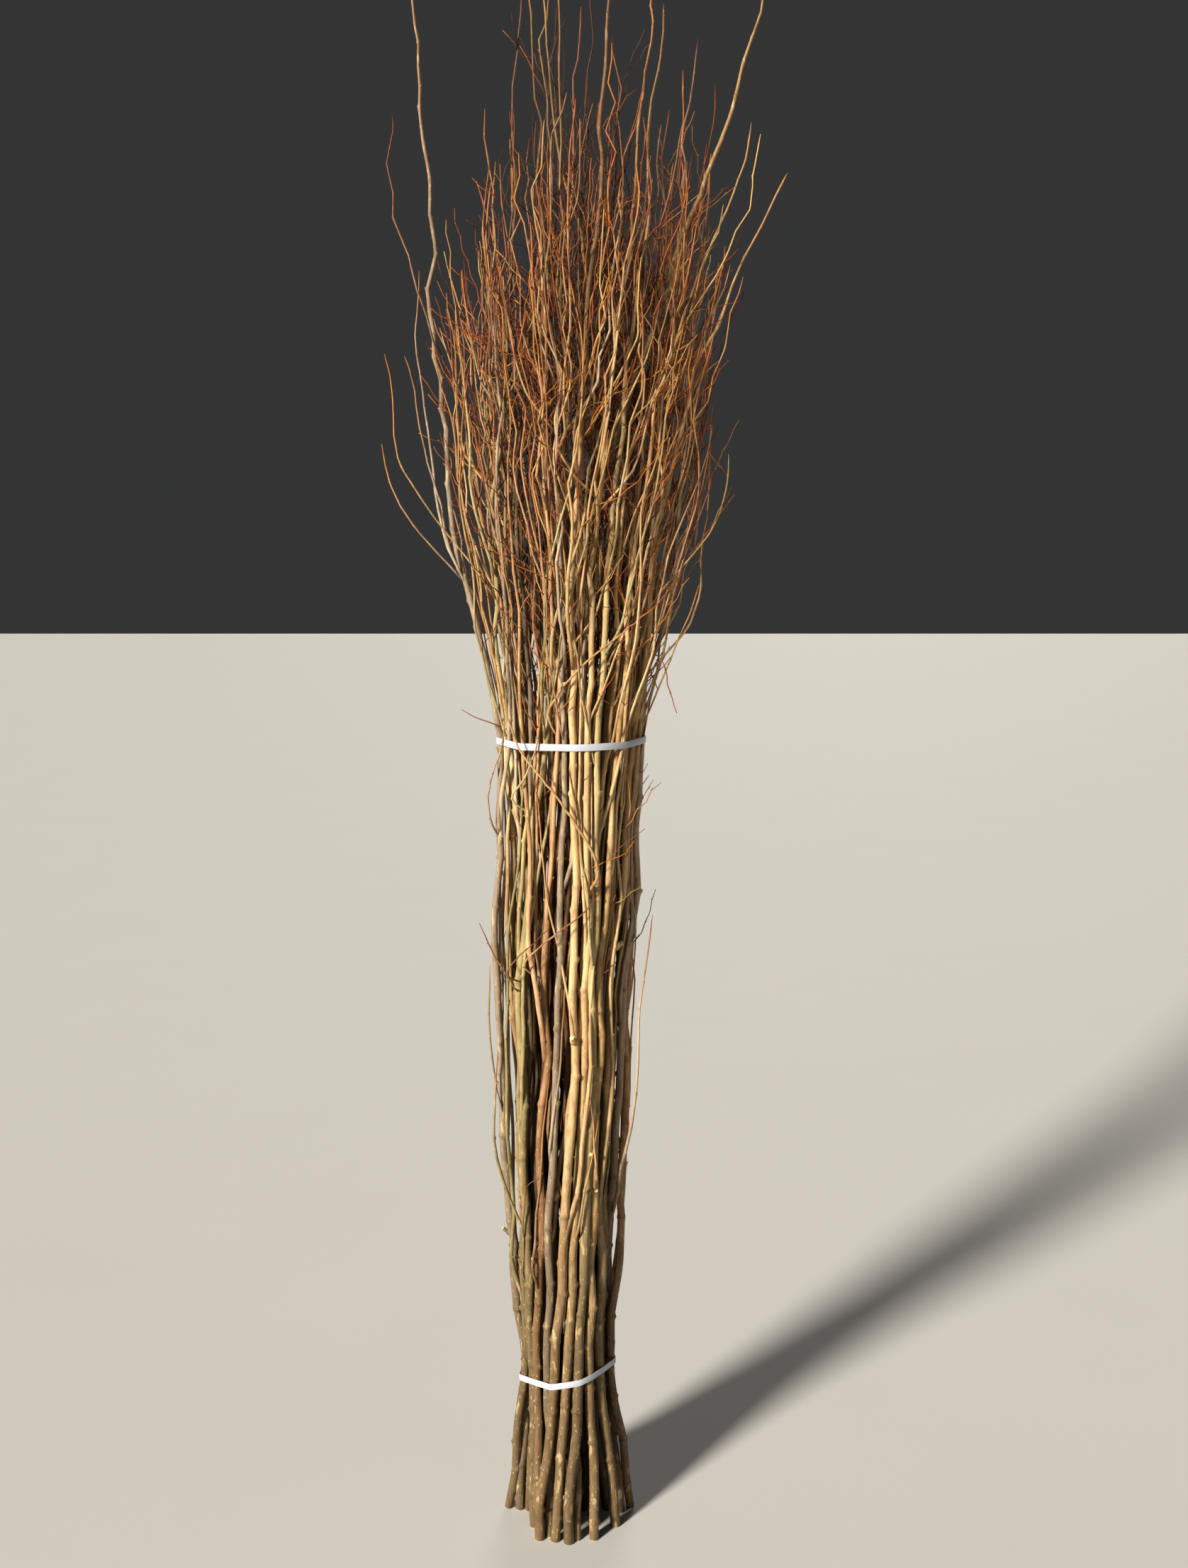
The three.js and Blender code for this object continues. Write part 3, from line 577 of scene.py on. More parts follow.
class Growth:
    """All the tubes and buds that grow on one rod, gathered to become one mesh."""

    VALUES = ("girth", "tint", "knot", "cut")

    def __init__(self):
        self.points, self.faces, self.flat, self.count = [], [], [], 0
        self.values = {name: [] for name in self.VALUES}

    def add(self, points, faces, flat, **values):
        self.points.append(points)
        self.faces += [[corner + self.count for corner in face] for face in faces]
        self.flat += flat
        self.count += len(points)
        for name in self.VALUES:
            self.values[name].append(np.broadcast_to(values.get(name, 0.0), len(points)))

    def add_tube(self, path, radii, sides, tint, knot=0.0, cut=0.0, outward=None, swell=0.0):
        """A closed tube along path. It swells at its knots, mostly on the side that outward gives."""
        points, faces, ends = unit_tube(sides, len(path))
        row = np.rint(points[:, 2]).astype(int)
        across, over = frames_along(path)
        ring = points[:, :1] * across[row] + points[:, 1:2] * over[row]
        knots = np.broadcast_to(knot, len(path))[row]
        cuts = np.broadcast_to(cut, len(path))[row]
        if outward is not None:
            lobe = np.clip((ring * outward[row]).sum(axis=1), 0, None) ** 2
            ring = ring * (1 + swell * knots * (0.15 + lobe))[:, None]
            knots = knots * (0.2 + 0.8 * lobe)
        self.add(path[row] + ring * radii[row, None], faces, ends, girth=radii[row] * 1000, tint=tint,
                 knot=knots, cut=cuts)

    def add_bud(self, foot, up, out, length, width, tint):
        points, faces, ends = unit_bud()
        side = np.cross(up, out)
        shaped = points[:, :1] * side * width + points[:, 1:2] * out * width + points[:, 2:] * up * length
        self.add(foot + shaped, faces, [False] * len(ends), girth=width * 500, tint=tint, knot=0.35)

    def make(self, name, material):
        mesh = bpy.data.meshes.new(name)
        mesh.from_pydata(np.concatenate(self.points), [], self.faces)
        values = {value_name: np.concatenate(parts) for value_name, parts in self.values.items()}
        # How deep each point lies in the bundle, which the bark turns into painted shade.
        values["inner"] = depth_inside(np.concatenate(self.points))
        for value_name, numbers in values.items():
            layer = mesh.attributes.new(value_name, "FLOAT", "POINT")
            layer.data.foreach_set("value", numbers.astype(np.float32))
        mesh.polygons.foreach_set("use_smooth", [not flat for flat in self.flat])
        mesh.materials.append(material)
        mesh.update()
        return put(name, mesh)


def unit(vectors):
    return vectors / np.maximum(np.linalg.norm(vectors, axis=-1, keepdims=True), 1e-9)


def frames_along(path):
    """Two directions square to the path at each of its points, without twist."""
    along = unit(np.gradient(path, axis=0))
    whole = unit(path[-1] - path[0])
    hint = np.cross(whole, (0.0, 0.0, 1.0))
    if np.linalg.norm(hint) < 0.05:
        hint = np.array((1.0, 0.0, 0.0))
    across = unit(hint - along * (along @ hint)[:, None])
    return across, np.cross(along, across)


print("a tube of 5 sides and 4 rings has", len(unit_tube(5, 4)[0]), "points")

# %% [markdown]
# A rod swells a little at its knots, on the side where a bud or side shoot sat, and changes its direction
# there. Between them it runs a little crooked. The knots lie a hand's width apart near the ground and get
# closer further up, and each follows the last round the rod by the golden angle. Where a band pinches the
# bundle, the rods stay where the solids have them, so that none of them comes through the band. In the
# crown the thin shoots are more crooked than the rods.
# %% Rods, limbs and main branches
GOLDEN_ANGLE = math.radians(137.5)
ROD_SIDES = 10
BRANCH_SIDES = 5
ROD_KNOT = ((-0.008, 0.0), (-0.003, 0.35), (0.0, 1.0), (0.0025, 0.7), (0.007, 0.0))
BRANCH_KNOT = ((-0.006, 0.0), (0.0, 1.0), (0.005, 0.0))
KNOT_SWELL = 0.4
KNOT_GAPS = ((0.0, 0.075), (1.3, 0.055), (2.4, 0.036))
UNEVEN_GAPS = (0.6, 1.4)
FIRST_KNOT = (0.02, 0.05)
LAST_KNOT = 0.015
KNOT_OFF_BAND = 0.014
PLAIN_STEP = 0.03
PLAIN_GAP = 0.009
END_GAP = 0.002
BUTT_BEVEL = 0.93
TIP_SHARE = 0.45
CUT_EDGE = 0.0006
SWAY = 0.0012
SLOW_BEND = 0.002
QUICK_BEND = 0.0005
SLOW_WAVES = (15, 27)
QUICK_WAVES = (36, 60)
KNOT_KINK = 0.0017
ROD_CROOKEDNESS = ((0.0, 1.0), (1.4, 1.0), (1.9, 1.4), (2.5, 1.4))
SHOOT_CROOKEDNESS = ((0.0, 1.0), (1.4, 1.0), (1.9, 2.5), (2.5, 2.5))


class Path:
    """The crooked middle of a grown rod, to plant buds and twigs on."""

    def __init__(self, places, radii):
        self.places, self.radii = places, radii

    def at(self, z):
        return np.array([np.interp(z, self.places[:, 2], self.places[:, axis]) for axis in (0, 1, 2)])

    def radius_at(self, z):
        return float(np.interp(z, self.places[:, 2], self.radii))


def place_knots(line, low, high, rng):
    """The knots as pairs of height and outward direction, closer together towards the tip."""
    knots, z, turn = [], low + rng.uniform(*FIRST_KNOT), rng.uniform(0, math.tau)
    while z < high - LAST_KNOT:
        turn += GOLDEN_ANGLE + rng.uniform(-0.3, 0.3)
        if from_bands(line.at(z))[0] > KNOT_OFF_BAND:
            knots.append((z, np.array((math.cos(turn), math.sin(turn), 0.0))))
        z += rng.uniform(*UNEVEN_GAPS) * by_height(KNOT_GAPS, z)
    return knots


def sway(places):
    """A slow bend that neighbours share, because rods that are tied together lean the same way."""
    x, y, z = places.T
    return SWAY * np.column_stack([
        np.sin(19 * z + 9 * x + 14 * y) + 0.6 * np.sin(31 * z - 17 * x + 8 * y + 2.1),
        np.sin(17 * z - 12 * x + 7 * y + 1.3) + 0.6 * np.sin(28 * z + 11 * x + 15 * y + 4.2)])


def crooked(path, knots, crookedness, rng):
    """Bends a rod's path sideways: slow and quick waves, and a kink at each knot. The bands hold it still."""
    z = path[:, 2]
    kinks = [knot for knot, _ in knots] or [z[0]]
    hold = freedom(path, BEND_EASE) * by_height(crookedness, z)
    path[:, :2] += sway(path) * (hold * np.clip(z / 0.3, 0, 1))[:, None]
    for axis in (0, 1):
        slow = np.sin(z * rng.uniform(*SLOW_WAVES) + rng.uniform(0, math.tau)) * SLOW_BEND
        quick = np.sin(z * rng.uniform(*QUICK_WAVES) + rng.uniform(0, math.tau)) * QUICK_BEND
        kink = np.interp(z, kinks, [rng.gauss(0, KNOT_KINK) for _ in kinks])
        path[:, axis] += (slow + quick + kink) * hold * np.clip((z - z[0]) / 0.06, 0, 1)


def grow_line(growth, line, sides, tint, rng, cut_foot=False):
    """A rod or branch with its knots. Gives back the knots and the crooked path, for what grows from them."""
    low, high = line.z[0], line.z[-1]
    knots = place_knots(line, low, high, rng)
    rows = {low: (0.0, None), high: (0.0, None)}
    for z, out in knots:
        for offset, shape in ROD_KNOT if sides == ROD_SIDES else BRANCH_KNOT:
            if low + END_GAP < z + offset < high - END_GAP:
                rows[z + offset] = (shape, out)
    known = np.array(sorted(rows))
    for z in np.arange(low, high, PLAIN_STEP):
        if np.abs(known - z).min() > PLAIN_GAP:
            rows[z] = (0.0, None)
    heights = np.array(sorted(rows))
    knot = np.array([rows[z][0] for z in heights])
    outward = np.array([rows[z][1] if rows[z][1] is not None else (0, 0, 0) for z in heights])
    path = line.at(heights)
    crooked(path, knots, ROD_CROOKEDNESS if sides == ROD_SIDES else SHOOT_CROOKEDNESS, rng)
    bent = Path(path, line.radius_at(heights))
    radii = bent.radii.copy()
    cut = np.zeros(len(path))
    if cut_foot:
        path = np.vstack([path[:1], path])
        path[1, 2] += CUT_EDGE
        radii = np.concatenate([radii[:1] * BUTT_BEVEL, radii])
        knot, cut = np.concatenate([[0], knot]), np.concatenate([[1], cut])
        outward = np.vstack([outward[:1], outward])
    radii[-1] *= TIP_SHARE
    growth.add_tube(path, radii, sides, tint, knot=knot, cut=cut, outward=outward, swell=KNOT_SWELL)
    return knots, bent


STUB_GIRTH = (0.0028, 0.0038)
STUB_PROFILE = (1.5, 1.5, 1.25, 1.05, 1.0, 0.98, 0.86)
STUB_SIDES = 8
STUB_COLLAR = (0.0, 0.5, 0.6, 0.2, 0.0, 0.0, 0.0)
STUB_CUT = (0.0, 0.0, 0.0, 0.0, 0.0, 0.0, 1.0)
DEEPEST_BARK = 0.6


def grow_stub(growth, end, middle, rod_radius, tint, rng):
    """A pruned stub: a short peg with a collar where it leaves the bark, cut square across to pale wood."""
    aim = unit(end - middle)
    length = np.linalg.norm(end - middle)
    bark = min(rod_radius / length, DEEPEST_BARK)
    shares = np.array((0.0, bark * 0.9, bark * 1.15, bark * 1.5, 0.97, 1.0, 1.0))
    radii = rng.uniform(*STUB_GIRTH) * np.array(STUB_PROFILE)
    path = middle + np.outer(shares * length, aim)
    path[-1] += aim * CUT_EDGE
    growth.add_tube(path, radii, STUB_SIDES, tint, knot=STUB_COLLAR, cut=STUB_CUT)


print("knots on a rod:", len(place_knots(RODS["stem_07"][0], 0, 2.4, random.Random(1))))

# %% [markdown]
# A twig leaves its knot at a wide angle and soon turns upwards to the light. It kinks a little at every
# knot of its own, and each of those knots holds a bud pressed against it. The crown is a broom: most twigs
# end up nearly upright, so the angle dies away along the twig. No twig may leave the crown's ragged edge or
# the box of the solids, so a twig that would is grown again steeper, and then shorter.
# %% Twigs and buds
CROWN_REACH = ((1.2, 0.13), (1.35, 0.15), (1.5, 0.18), (1.75, 0.22), (2.0, 0.23), (2.25, 0.18), (2.5, 0.15))
RAGGED = (0.75, 1.25)
CROWN_MIDDLE = 0.014
TWIG_TIP = 0.0005
TWIG_STEP = 0.018
TWIG_TURN = 0.06
TWIG_START = (0.45, 1.15)
TWIG_END = (0.05, 1.0, 0.25)
TWIG_ARCS = ((0.06, 0.16), (9, 24))
TWIG_WAVES = ((0.04, 0.16), (10, 28))
TWIG_KINKS = (0.08, 0.28)
TWIG_TRIES = ((1.0, 1.0), (0.5, 0.8), (0.2, 0.4), (0.2, 0.18))
TWIG_SIDES = {1: 4, 2: 3}
HUE_SPREAD = 0.22
BUD_WIDTH = 0.0018
BUD_LENGTH = (0.003, 0.005)
SIDE_TWIGS = 0.28
SIDE_TWIG_LENGTH = (0.03, 0.11)


def twig_path(foot, axis, side, length, start_angle, end_angle, rng):
    """The middle of a twig: it swings from its start angle to its end angle, with a kink at each knot."""
    count = max(4, int(length / TWIG_STEP) + 1)
    s = np.linspace(0, length, count)
    angle = end_angle + (start_angle - end_angle) * np.exp(-s / TWIG_TURN)
    arc, wave = (rng.uniform(*size) * np.sin(s * rng.uniform(*pace) + rng.uniform(0, math.tau))
                 for size, pace in (TWIG_ARCS, TWIG_WAVES))
    kink = rng.uniform(*TWIG_KINKS) * np.where(np.arange(count) % 2, 1, -1)
    across = np.cross(axis, side)
    angle = angle + arc
    aim = unit(np.outer(np.cos(angle), axis) + np.outer(np.sin(angle) + kink, side) + np.outer(wave, across))
    steps = aim * (length / (count - 1))
    return np.vstack([foot, foot + np.cumsum(steps[:-1], axis=0)])


def inside_crown(path, share=1.0):
    reach = share * by_height(CROWN_REACH, path[:, 2])
    boxed = (path > CAD_BOX[0]).all() and (path < CAD_BOX[1]).all()
    return bool(boxed and (np.hypot(path[:, 0] - CROWN_MIDDLE, path[:, 1]) < reach).all())


def grow_twig(growth, foot, axis, side, length, girth, hue, rng, depth=1):
    """One twig with its buds, and on some twigs shorter ones. Gives back whether it found room."""
    start_angle, end_angle = rng.uniform(*TWIG_START), rng.triangular(*TWIG_END)
    ragged = rng.uniform(*RAGGED)
    for steepness, share in TWIG_TRIES:
        angles = start_angle * steepness, end_angle * steepness
        path = twig_path(foot, axis, side, length * share, *angles, rng)
        if inside_crown(path[2:], ragged):
            break
    else:
        return False
    t = np.linspace(0, 1, len(path))
    tint = min(max(hue + rng.gauss(0, HUE_SPREAD), 0), 1)
    radii = girth * (1 - t) ** 0.8 + TWIG_TIP * t
    knots = np.where(np.arange(len(path)) % 2, 1.0, 0.0)
    growth.add_tube(path, radii * (1 + 0.18 * knots), TWIG_SIDES[depth], tint, knot=knots * 0.5)
    aims = unit(np.gradient(path, axis=0))
    turn = rng.uniform(0, math.tau)
    for k in range(1, len(path) - 1, 2):
        turn += GOLDEN_ANGLE
        out = side * math.cos(turn) + np.cross(axis, side) * math.sin(turn)
        out = unit(out - aims[k] * (out @ aims[k]))
        if depth == 1 and rng.random() < SIDE_TWIGS and length > 0.1:
            side_length = rng.uniform(*SIDE_TWIG_LENGTH)
            grow_twig(growth, path[k], aims[k], out, side_length, radii[k] * 0.7, hue, rng, 2)
        else:
            up = unit(aims[k] + out * 0.35)
            bud_length = rng.uniform(*BUD_LENGTH)
            growth.add_bud(path[k] + out * radii[k] * 0.7, up, out, bud_length, BUD_WIDTH, tint)
    return True


print("the crown reaches", max(reach for _, reach in CROWN_REACH), "m from the middle")

# %% [markdown]
# At each knot of a rod there is either a twig or only an old bud. Low down nearly all side shoots were cut
# off or died, so only buds are left. Above the upper band a knot's chance of a twig is a third, and in the
# thick of the crown it is over a half. A knot whose twig finds no room keeps its bud. Towards the top the
# twigs get shorter.
# %% The crown
TWIG_SHARE = ((0.3, 0.0), (0.9, 0.06), (1.2, 0.16), (1.34, 0.3), (1.5, 0.55), (1.8, 0.7), (2.1, 0.8),
              (2.35, 0.5))
TWIG_REACH = ((1.3, 0.35), (1.6, 0.5), (1.85, 0.85), (2.2, 0.7), (2.4, 0.35))
LONGEST_TWIG = 0.5
HIGHEST_TIPS = (2.05, 2.5)
DOME_DROP = 9.0
SHORTEST_TWIG = 0.04
UNDER_BAND = 0.015
OLD_BUDS = (0.0018, 0.0034)
TWIG_RADIUS = (0.0007, 0.0009)


def crown_top(place, rng):
    """How high a twig may reach over a place: the crown is a ragged dome, highest near its middle."""
    out = math.hypot(place[0] - CROWN_MIDDLE, place[1])
    return rng.uniform(*HIGHEST_TIPS) - DOME_DROP * out ** 2


def grow_crown(growth, knots, bent, tint, hue, rng, longest=LONGEST_TWIG):
    """Twigs and old buds at the knots of one rod, limb or branch."""
    for z, side in knots:
        here = bent.at(z)
        axis = unit(bent.at(z + 0.01) - bent.at(z - 0.01))
        side = unit(side - axis * (side @ axis))
        radius = bent.radius_at(z)
        length = (0.1 + 0.9 * rng.random() ** 2) * longest * by_height(TWIG_REACH, z)
        length = min(length, crown_top(here, rng) - z)
        if z < BAND_HEIGHTS[1]:
            length = min(length, BAND_HEIGHTS[1] - UNDER_BAND - z)
        if length > SHORTEST_TWIG and rng.random() < by_height(TWIG_SHARE, z):
            girth = min(radius * 0.6, rng.uniform(*TWIG_RADIUS) + 0.001 * length)
            if grow_twig(growth, here + side * radius * 0.5, axis, side, length, girth, hue, rng):
                continue
        size = min(radius * 0.7, rng.uniform(*OLD_BUDS))
        up = unit(axis + side * 0.9)
        growth.add_bud(here + side * radius * 0.8, up, side, size * 2.2, size * 1.4, tint)


print("a knot's chance of a twig at 1.5 m:", by_height(TWIG_SHARE, 1.5))

# %% [markdown]
# Between the thick rods the bundle is packed with thinner side shoots. Some leave their rod anywhere from
# knee to chest height and climb through the gaps, others start near or above the upper band and lean out to
# fill the crown, and the thinnest ones fill its core. Each one tries a dozen directions and three distances,
# and keeps the free place that is furthest out, where it shows, or furthest in, where it fills the middle.
# At the bands it has to pass inside the rods that the band rests on.
# %% Side shoots that climb through the bundle
SHELVES = np.arange(0.02, 2.5, 0.02)
NOWHERE = 9.0
SHOOT_WORDS = ("count", "start", "length", "girth", "lean", "overlap", "outwards")
SHOOT_KINDS = [dict(zip(SHOOT_WORDS, row)) for row in (
    (1, (0.34, 1.15), (0.6, 1.5), (0.0026, 0.0044), (0.5, 1.2), 0.002, 0.1),
    (1, (0.3, 0.7), (0.9, 1.5), (0.0032, 0.0046), (0.3, 0.8), 0.003, -0.1),
    (3, (1.2, 1.85), (0.4, 0.95), (0.0014, 0.0026), (2.0, 12.0), 0.006, 0.1),
    (1, (1.6, 1.95), (0.35, 0.7), (0.001, 0.0016), (0.5, 3.0), 0.008, -0.2))]
SHOOT_DISTANCES = (0.013, 0.02, 0.028)
SHOOT_DIRECTIONS = 12
SHOOT_TURN = 0.06
SHORTEST_SHOOT = 0.2
SHOOT_FOOT = (0.0, 0.02, 0.05, 0.1)
SHOOT_TIP = 0.001
ENOUGH_ROOM = 0.0015
SURFACE_SLACK = 0.004


class Gaps:
    """Where all rods and shoots run, shelf by shelf, to find room between them."""

    def __init__(self):
        self.places, self.radii = [], []

    def fill(self, line):
        places = np.full((len(SHELVES), 2), NOWHERE)
        within = (SHELVES >= line.z[0]) & (SHELVES <= line.z[-1])
        places[within] = line.at(SHELVES[within])[:, :2]
        self.places.append(places)
        self.radii.append(np.where(within, line.radius_at(SHELVES), 0.0))

    def room(self, line):
        """The tightest gap that a line would have beyond its first hand's width."""
        within = (SHELVES >= line.z[0] + 0.1) & (SHELVES <= line.z[-1])
        middles = line.at(SHELVES[within])[:, :2]
        away = np.linalg.norm(np.array(self.places)[:, within] - middles, axis=2)
        return float((away - np.array(self.radii)[:, within]).min() - line.radius.mean())

    def on_shelf(self, z):
        """The places and radii of all rods and shoots on the shelf nearest to a height."""
        shelf = int(np.abs(SHELVES - z).argmin())
        return (np.array([row[shelf] for row in rows]) for rows in (self.places, self.radii))

    def surface(self, turn, z):
        """How far the rods reach out in one direction at one height."""
        out = np.array((math.cos(turn), math.sin(turn)))
        rods, radii = self.on_shelf(z)
        facing = (radii > 0) & (np.abs(rods @ (-out[1], out[0])) < radii + SURFACE_SLACK)
        return float((rods @ out + radii)[facing].max(initial=0.0))

    def held(self, line):
        """Whether a line passes inside the rods at both bands."""
        for band in BAND_HEIGHTS:
            if line.z[0] < band < line.z[-1]:
                middle = line.at(band)[0][:2]
                out = unit(middle)
                rods, radii = self.on_shelf(band)
                reach = np.where(rods[:, 0] < NOWHERE, rods @ out + radii, 0)
                if middle @ out + line.radius_at(band)[()] > reach.max() - 0.001:
                    return False
        return True


GAPS = Gaps()
for rod_line, branch_lines, _ in RODS.values():
    for line in [rod_line] + branch_lines:
        GAPS.fill(line)


def side_shoot(rod_line, kind, rng):
    """A line through a gap near a rod, or nothing where there is none."""
    low = rng.uniform(*kind["start"])
    high = min(low + rng.uniform(*kind["length"]), rod_line.z[-1] - 0.02)
    high = min(high, crown_top(rod_line.at(high)[0], rng))
    if high < low + SHORTEST_SHOOT:
        return None
    heights = np.concatenate([low + np.array(SHOOT_FOOT), np.arange(low + 0.2, high, 0.1), [high]])
    radii = np.interp(heights, (low, high), (rng.uniform(*kind["girth"]), SHOOT_TIP))
    lean = 1 + rng.uniform(*kind["lean"]) * np.clip(heights - BAND_HEIGHTS[1], 0, None)[:, None]
    carrier = rod_line.at(heights)[:, :2]
    best, best_worth = None, -math.inf
    for distance in SHOOT_DISTANCES:
        for k in range(SHOOT_DIRECTIONS):
            turn = k * math.tau / SHOOT_DIRECTIONS
            way = np.array((math.cos(turn), math.sin(turn))) * distance
            places = carrier + (1 - np.exp(-(heights - low) / SHOOT_TURN))[:, None] * way * lean
            line = Line([(x, y, z, r) for (x, y), z, r in zip(places, heights, radii)])
            room = GAPS.room(line)
            out = (np.linalg.norm(places, axis=1) - np.linalg.norm(carrier, axis=1)).mean()
            worth = min(room, ENOUGH_ROOM) + kind["outwards"] * out
            if room < -kind["overlap"] or worth < best_worth or not GAPS.held(line):
                continue
            if inside_crown(line.at(heights[heights > 1.2])):
                best, best_worth = line, worth
    if best is not None:
        GAPS.fill(best)
    return best


print("shelves to look for room on:", len(SHELVES), "rods in the way:", len(GAPS.places))

# %% [markdown]
# Other shoots grew on the outside and were caught across their neighbours when the bundle was tied. Each
# one leaves an outer rod below the upper band and climbs aslant over the rods beside it, always on their
# surface.
# %% Shoots that lie across the outside
ACROSS_START = (0.4, 1.08)
ACROSS_LENGTH = (0.16, 0.5)
ACROSS_GIRTH = (0.0016, 0.0034)
ACROSS_TURN = (0.2, 0.75)
ACROSS_BELOW_BAND = 0.03
ACROSS_RINGS = 10


def across_shoot(rod_line, rng):
    """A line that climbs aslant over the outside of the bundle, or nothing where its rod lies further in."""
    low = rng.uniform(*ACROSS_START)
    x, y = rod_line.at(low)[0][:2]
    turn = math.atan2(y, x)
    if math.hypot(x, y) + rod_line.radius_at(low)[()] < GAPS.surface(turn, low) - SURFACE_SLACK:
        return None
    high = min(low + rng.uniform(*ACROSS_LENGTH), BAND_HEIGHTS[1] - ACROSS_BELOW_BAND)
    rise = np.linspace(0, 1, ACROSS_RINGS)
    heights = low + (high - low) * rise
    turns = turn + rng.choice((-1, 1)) * rng.uniform(*ACROSS_TURN) * rise
    reach = np.array([GAPS.surface(*spot) for spot in zip(turns, heights)])
    wide = np.pad(reach, 1, "edge")
    radii = np.interp(rise, (0, 1), (rng.uniform(*ACROSS_GIRTH), 0.0009))
    reach = np.maximum(np.maximum(wide[:-2], wide[2:]), reach) + radii
    places = reach[:, None] * np.column_stack([np.cos(turns), np.sin(turns)])
    places[0] = x, y
    line = Line([(*place, z, radius) for place, z, radius in zip(places, heights, radii)])
    GAPS.fill(line)
    return line


print("reach to the front at 1 m:", round(GAPS.surface(-math.pi / 2, 1.0), 3))

# %% [markdown]
# A few shoots stand out by their place: a pale one lies across the front over the upper band, red ones
# cross the thick rods at waist height, and two orange ones bow out at the left of the band. They are given
# by points on the way to their tip. A smooth curve starts in the middle of their rod, a little below the
# first point, and runs through the points.
# %% Shoots that stand out
MARKED_SHOOTS = {
    "stem_08": [(0.0024, 0.85, ((0.042, -0.112, 1.12), (0.030, -0.119, 1.165),
                                (0.008, -0.121, 1.2), (-0.018, -0.122, 1.24), (-0.051, -0.117, 1.28),
                                (-0.080, -0.106, 1.32), (-0.093, -0.1, 1.36), (-0.1, -0.104, 1.43)))],
    "stem_05": [(0.0016, 0.1, ((-0.072, -0.11, 0.978), (-0.022, -0.124, 1.032),
                               (0.02, -0.122, 1.065), (0.041, -0.12, 1.09), (0.047, -0.118, 1.125))),
                (0.0019, 0.4, ((-0.032, -0.104, 1.36), (0.015, -0.125, 1.437),
                               (0.08, -0.125, 1.49), (0.13, -0.11, 1.532), (0.168, -0.09, 1.576)))],
    "stem_04": [(0.0014, 0.05, ((-0.098, -0.1, 0.966), (-0.054, -0.122, 1.02),
                                (-0.028, -0.126, 1.046))),
                (0.0015, 0.2, ((-0.095, -0.088, 0.948), (-0.121, -0.09, 0.994),
                               (-0.142, -0.085, 1.04))),
                (0.0019, 0.45, ((-0.09, -0.085, 1.235), (-0.069, -0.1, 1.27), (-0.054, -0.1, 1.31),
                                (-0.045, -0.1, 1.355), (-0.04, -0.112, 1.42)))],
    "stem_02": [(0.0019, 0.5, ((-0.126, -0.03, 1.19), (-0.13, -0.035, 1.229),
                               (-0.124, -0.03, 1.265), (-0.112, -0.03, 1.297), (-0.104, -0.035, 1.33),
                               (-0.108, -0.06, 1.4), (-0.12, -0.075, 1.47)))],
    "stem_12": [(0.0012, 0.3, ((0.135, -0.06, 1.452), (0.142, -0.065, 1.44),
                               (0.15, -0.068, 1.405), (0.163, -0.07, 1.365)))],
}
MARKED_STEP = 0.012
MARKED_DROP = 0.03
MARKED_SIDES = 6


def smooth_way(points):
    """Places along a smooth curve through points, one for every centimetre or so."""
    points = np.array(points)
    reach = np.concatenate([[0], np.cumsum(np.linalg.norm(np.diff(points, axis=0), axis=1))])
    slope = np.gradient(points, reach, axis=0)
    s = np.linspace(0, reach[-1], int(reach[-1] / MARKED_STEP) + 2)
    k = np.clip(np.searchsorted(reach, s, side="right") - 1, 0, len(points) - 2)
    step = (reach[k + 1] - reach[k])[:, None]
    t = (s - reach[k])[:, None] / step
    return curve(points, slope, k, step, t)


def grow_marked(growth, rod, girth, tint, points, rng):
    """One of the shoots that stand out, from its rod to its tip, with kinks, knots and buds."""
    path = smooth_way((rod.at(points[0][2] - MARKED_DROP), *points))
    path[1:-1] += np.array([[rng.gauss(0, 0.0006) for _ in range(3)] for _ in path[1:-1]])
    t = np.linspace(0, 1, len(path))
    radii = girth * (1 - t) ** 0.7 + TWIG_TIP * t
    knots = np.where(np.arange(len(path)) % 3 == 1, 1.0, 0.0)
    growth.add_tube(path, radii * (1 + 0.15 * knots), MARKED_SIDES, tint, knot=knots * 0.4)
    aims = unit(np.gradient(path, axis=0))
    for k in range(4, len(path) - 1, 3):
        out = unit(np.cross(aims[k], (rng.gauss(0, 1), rng.gauss(0, 1), rng.gauss(0, 1))))
        growth.add_bud(path[k] + out * radii[k] * 0.7, unit(aims[k] + out * 0.5), out, 0.004, BUD_WIDTH, tint)


print("shoots that stand out:", sum(len(rows) for rows in MARKED_SHOOTS.values()))

# %% [markdown]
# Now every rod is grown: its main line first, then its branches, side shoots and stubs, then the twigs at
# their knots. The name of the rod seeds its random numbers, so it grows the same way each time. Each rod is
# one piece that stands in for its own solid, because on the real object it grew as one.
# %% Grow every rod
HUES = (0.15, 0.75)
BRANCH_SHARE = 0.7


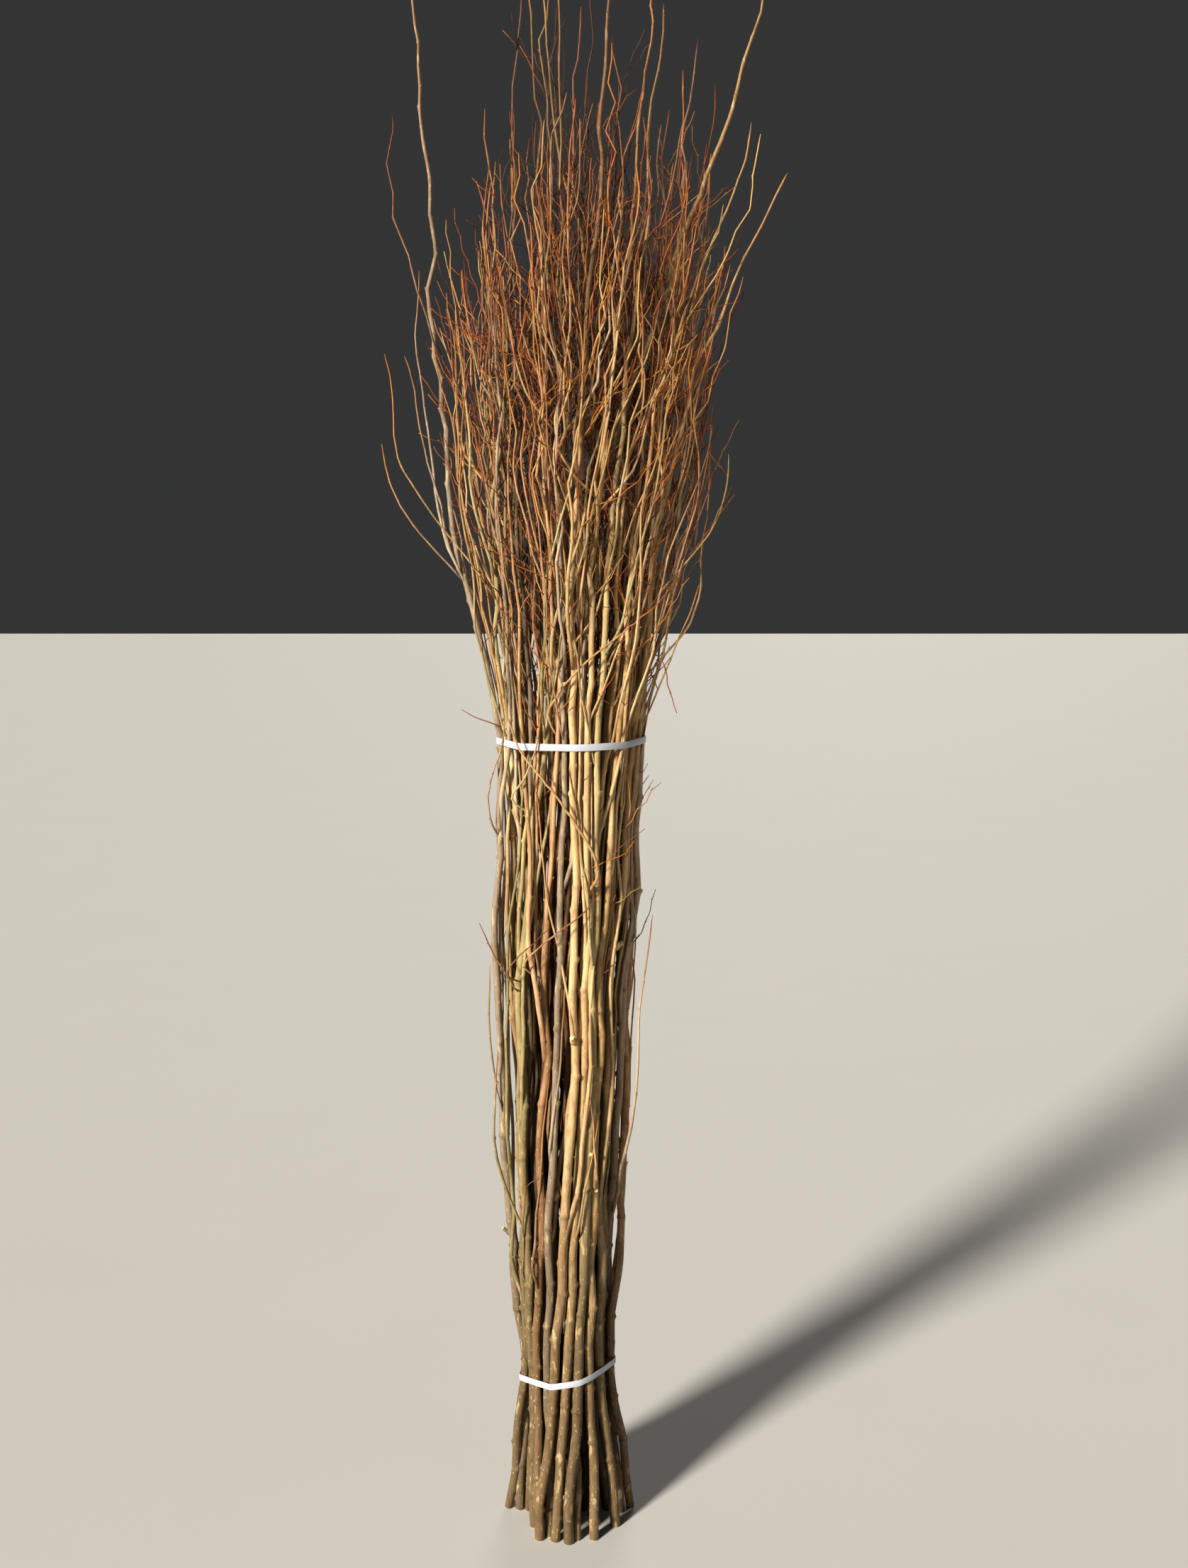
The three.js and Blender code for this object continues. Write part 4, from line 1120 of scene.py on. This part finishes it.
def grow_rod(node):
    rng = random.Random(node)
    line, branches, stubs = RODS[node]
    growth = Growth()
    tint, hue = rng.random(), rng.uniform(*HUES)
    limb = node.endswith("limb")
    knots, rod = grow_line(growth, line, ROD_SIDES, tint, rng, cut_foot=not limb)
    grow_crown(growth, knots, rod, tint, hue, rng)
    shoots = []
    if not limb:
        shoots = [side_shoot(line, kind, rng) for kind in SHOOT_KINDS for _ in range(kind["count"])]
        shoots.append(across_shoot(line, rng))
    for branch in branches + [shoot for shoot in shoots if shoot is not None]:
        own_tint = rng.random()
        knots, bent = grow_line(growth, branch, BRANCH_SIDES, own_tint, rng)
        grow_crown(growth, knots, bent, own_tint, hue, rng, LONGEST_TWIG * BRANCH_SHARE)
    for end, middle in stubs:
        grow_stub(growth, end, middle, line.radius_at(middle[2])[()], tint, rng)
    for girth, own_tint, points in MARKED_SHOOTS.get(node, ()):
        grow_marked(growth, rod, girth, own_tint, points, rng)
    slot = SLOT_OF[node]
    piece = growth.make(f"{node}_grown", BARK[slot])
    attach(piece, "root")
    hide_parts(node)
    return sum(len(face) - 2 for face in growth.faces)


triangles = {node: grow_rod(node) for node in RODS}
print("triangles on the rods:", sum(triangles.values()), "most on one:", max(triangles.values()))

# %% [markdown]
# The bands were pulled tight, so they run straight from rod to rod, and each is welded to itself where its
# two ends lap. The solid already has that outline. A copy of it is merged, and its edges are rounded a
# little so that they catch the light.
# %% The two bands
BAND_EDGE = 0.00018
RIM_ANGLE = math.radians(50)


def dress_band(node):
    bm = bmesh.new()
    bm.from_mesh(frame["nodes"][node].data)
    bmesh.ops.remove_doubles(bm, verts=bm.verts, dist=LEVEL_STEP)
    folds = [edge for edge in bm.edges if len(edge.link_faces) == 2]
    rims = [edge for edge in folds if edge.calc_face_angle() > RIM_ANGLE]
    bmesh.ops.bevel(bm, geom=rims, offset=BAND_EDGE, offset_type="OFFSET", affect="EDGES", segments=2,
                    profile=0.5, material=-1, clamp_overlap=True)
    for face in bm.faces:
        face.smooth = True
    mesh = bpy.data.meshes.new(f"{node}_band")
    bm.to_mesh(mesh)
    bm.free()
    mesh.materials.append(BAND_PLASTIC)
    piece = put(f"{node}_band", mesh)
    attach(piece, "root")
    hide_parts(node)
    return piece


BANDS = [dress_band(node) for node in ("strap_lower", "strap_upper")]
print("bands:", [(band.name, len(band.data.polygons)) for band in BANDS])

# %% [markdown]
# The floor is a plain pale sheet, part of the stage and not of the object.
# %% The floor
def make_floor():
    shade = Shading("floor_paint")
    mottle = shade.noise(shade.stretched((2, 2, 2)), 1.0, 3.0)
    colour = shade.mix(mottle * 0.3, tone("bebdb9"), tone("b5b4b0"))
    material = shade.finish(Base_Color=colour, Roughness=0.85)
    bm = bmesh.new()
    bmesh.ops.create_grid(bm, x_segments=2, y_segments=2, size=FLOOR_SIZE / 2)
    mesh = bpy.data.meshes.new("floor")
    bm.to_mesh(mesh)
    bm.free()
    mesh.materials.append(material)
    floor = put("floor", mesh)
    return floor


print("floor:", make_floor().name)

# %% [markdown]
# The last step prints the box of the solids.
# %% Sizes and finish
print("solids:", CAD_BOX)
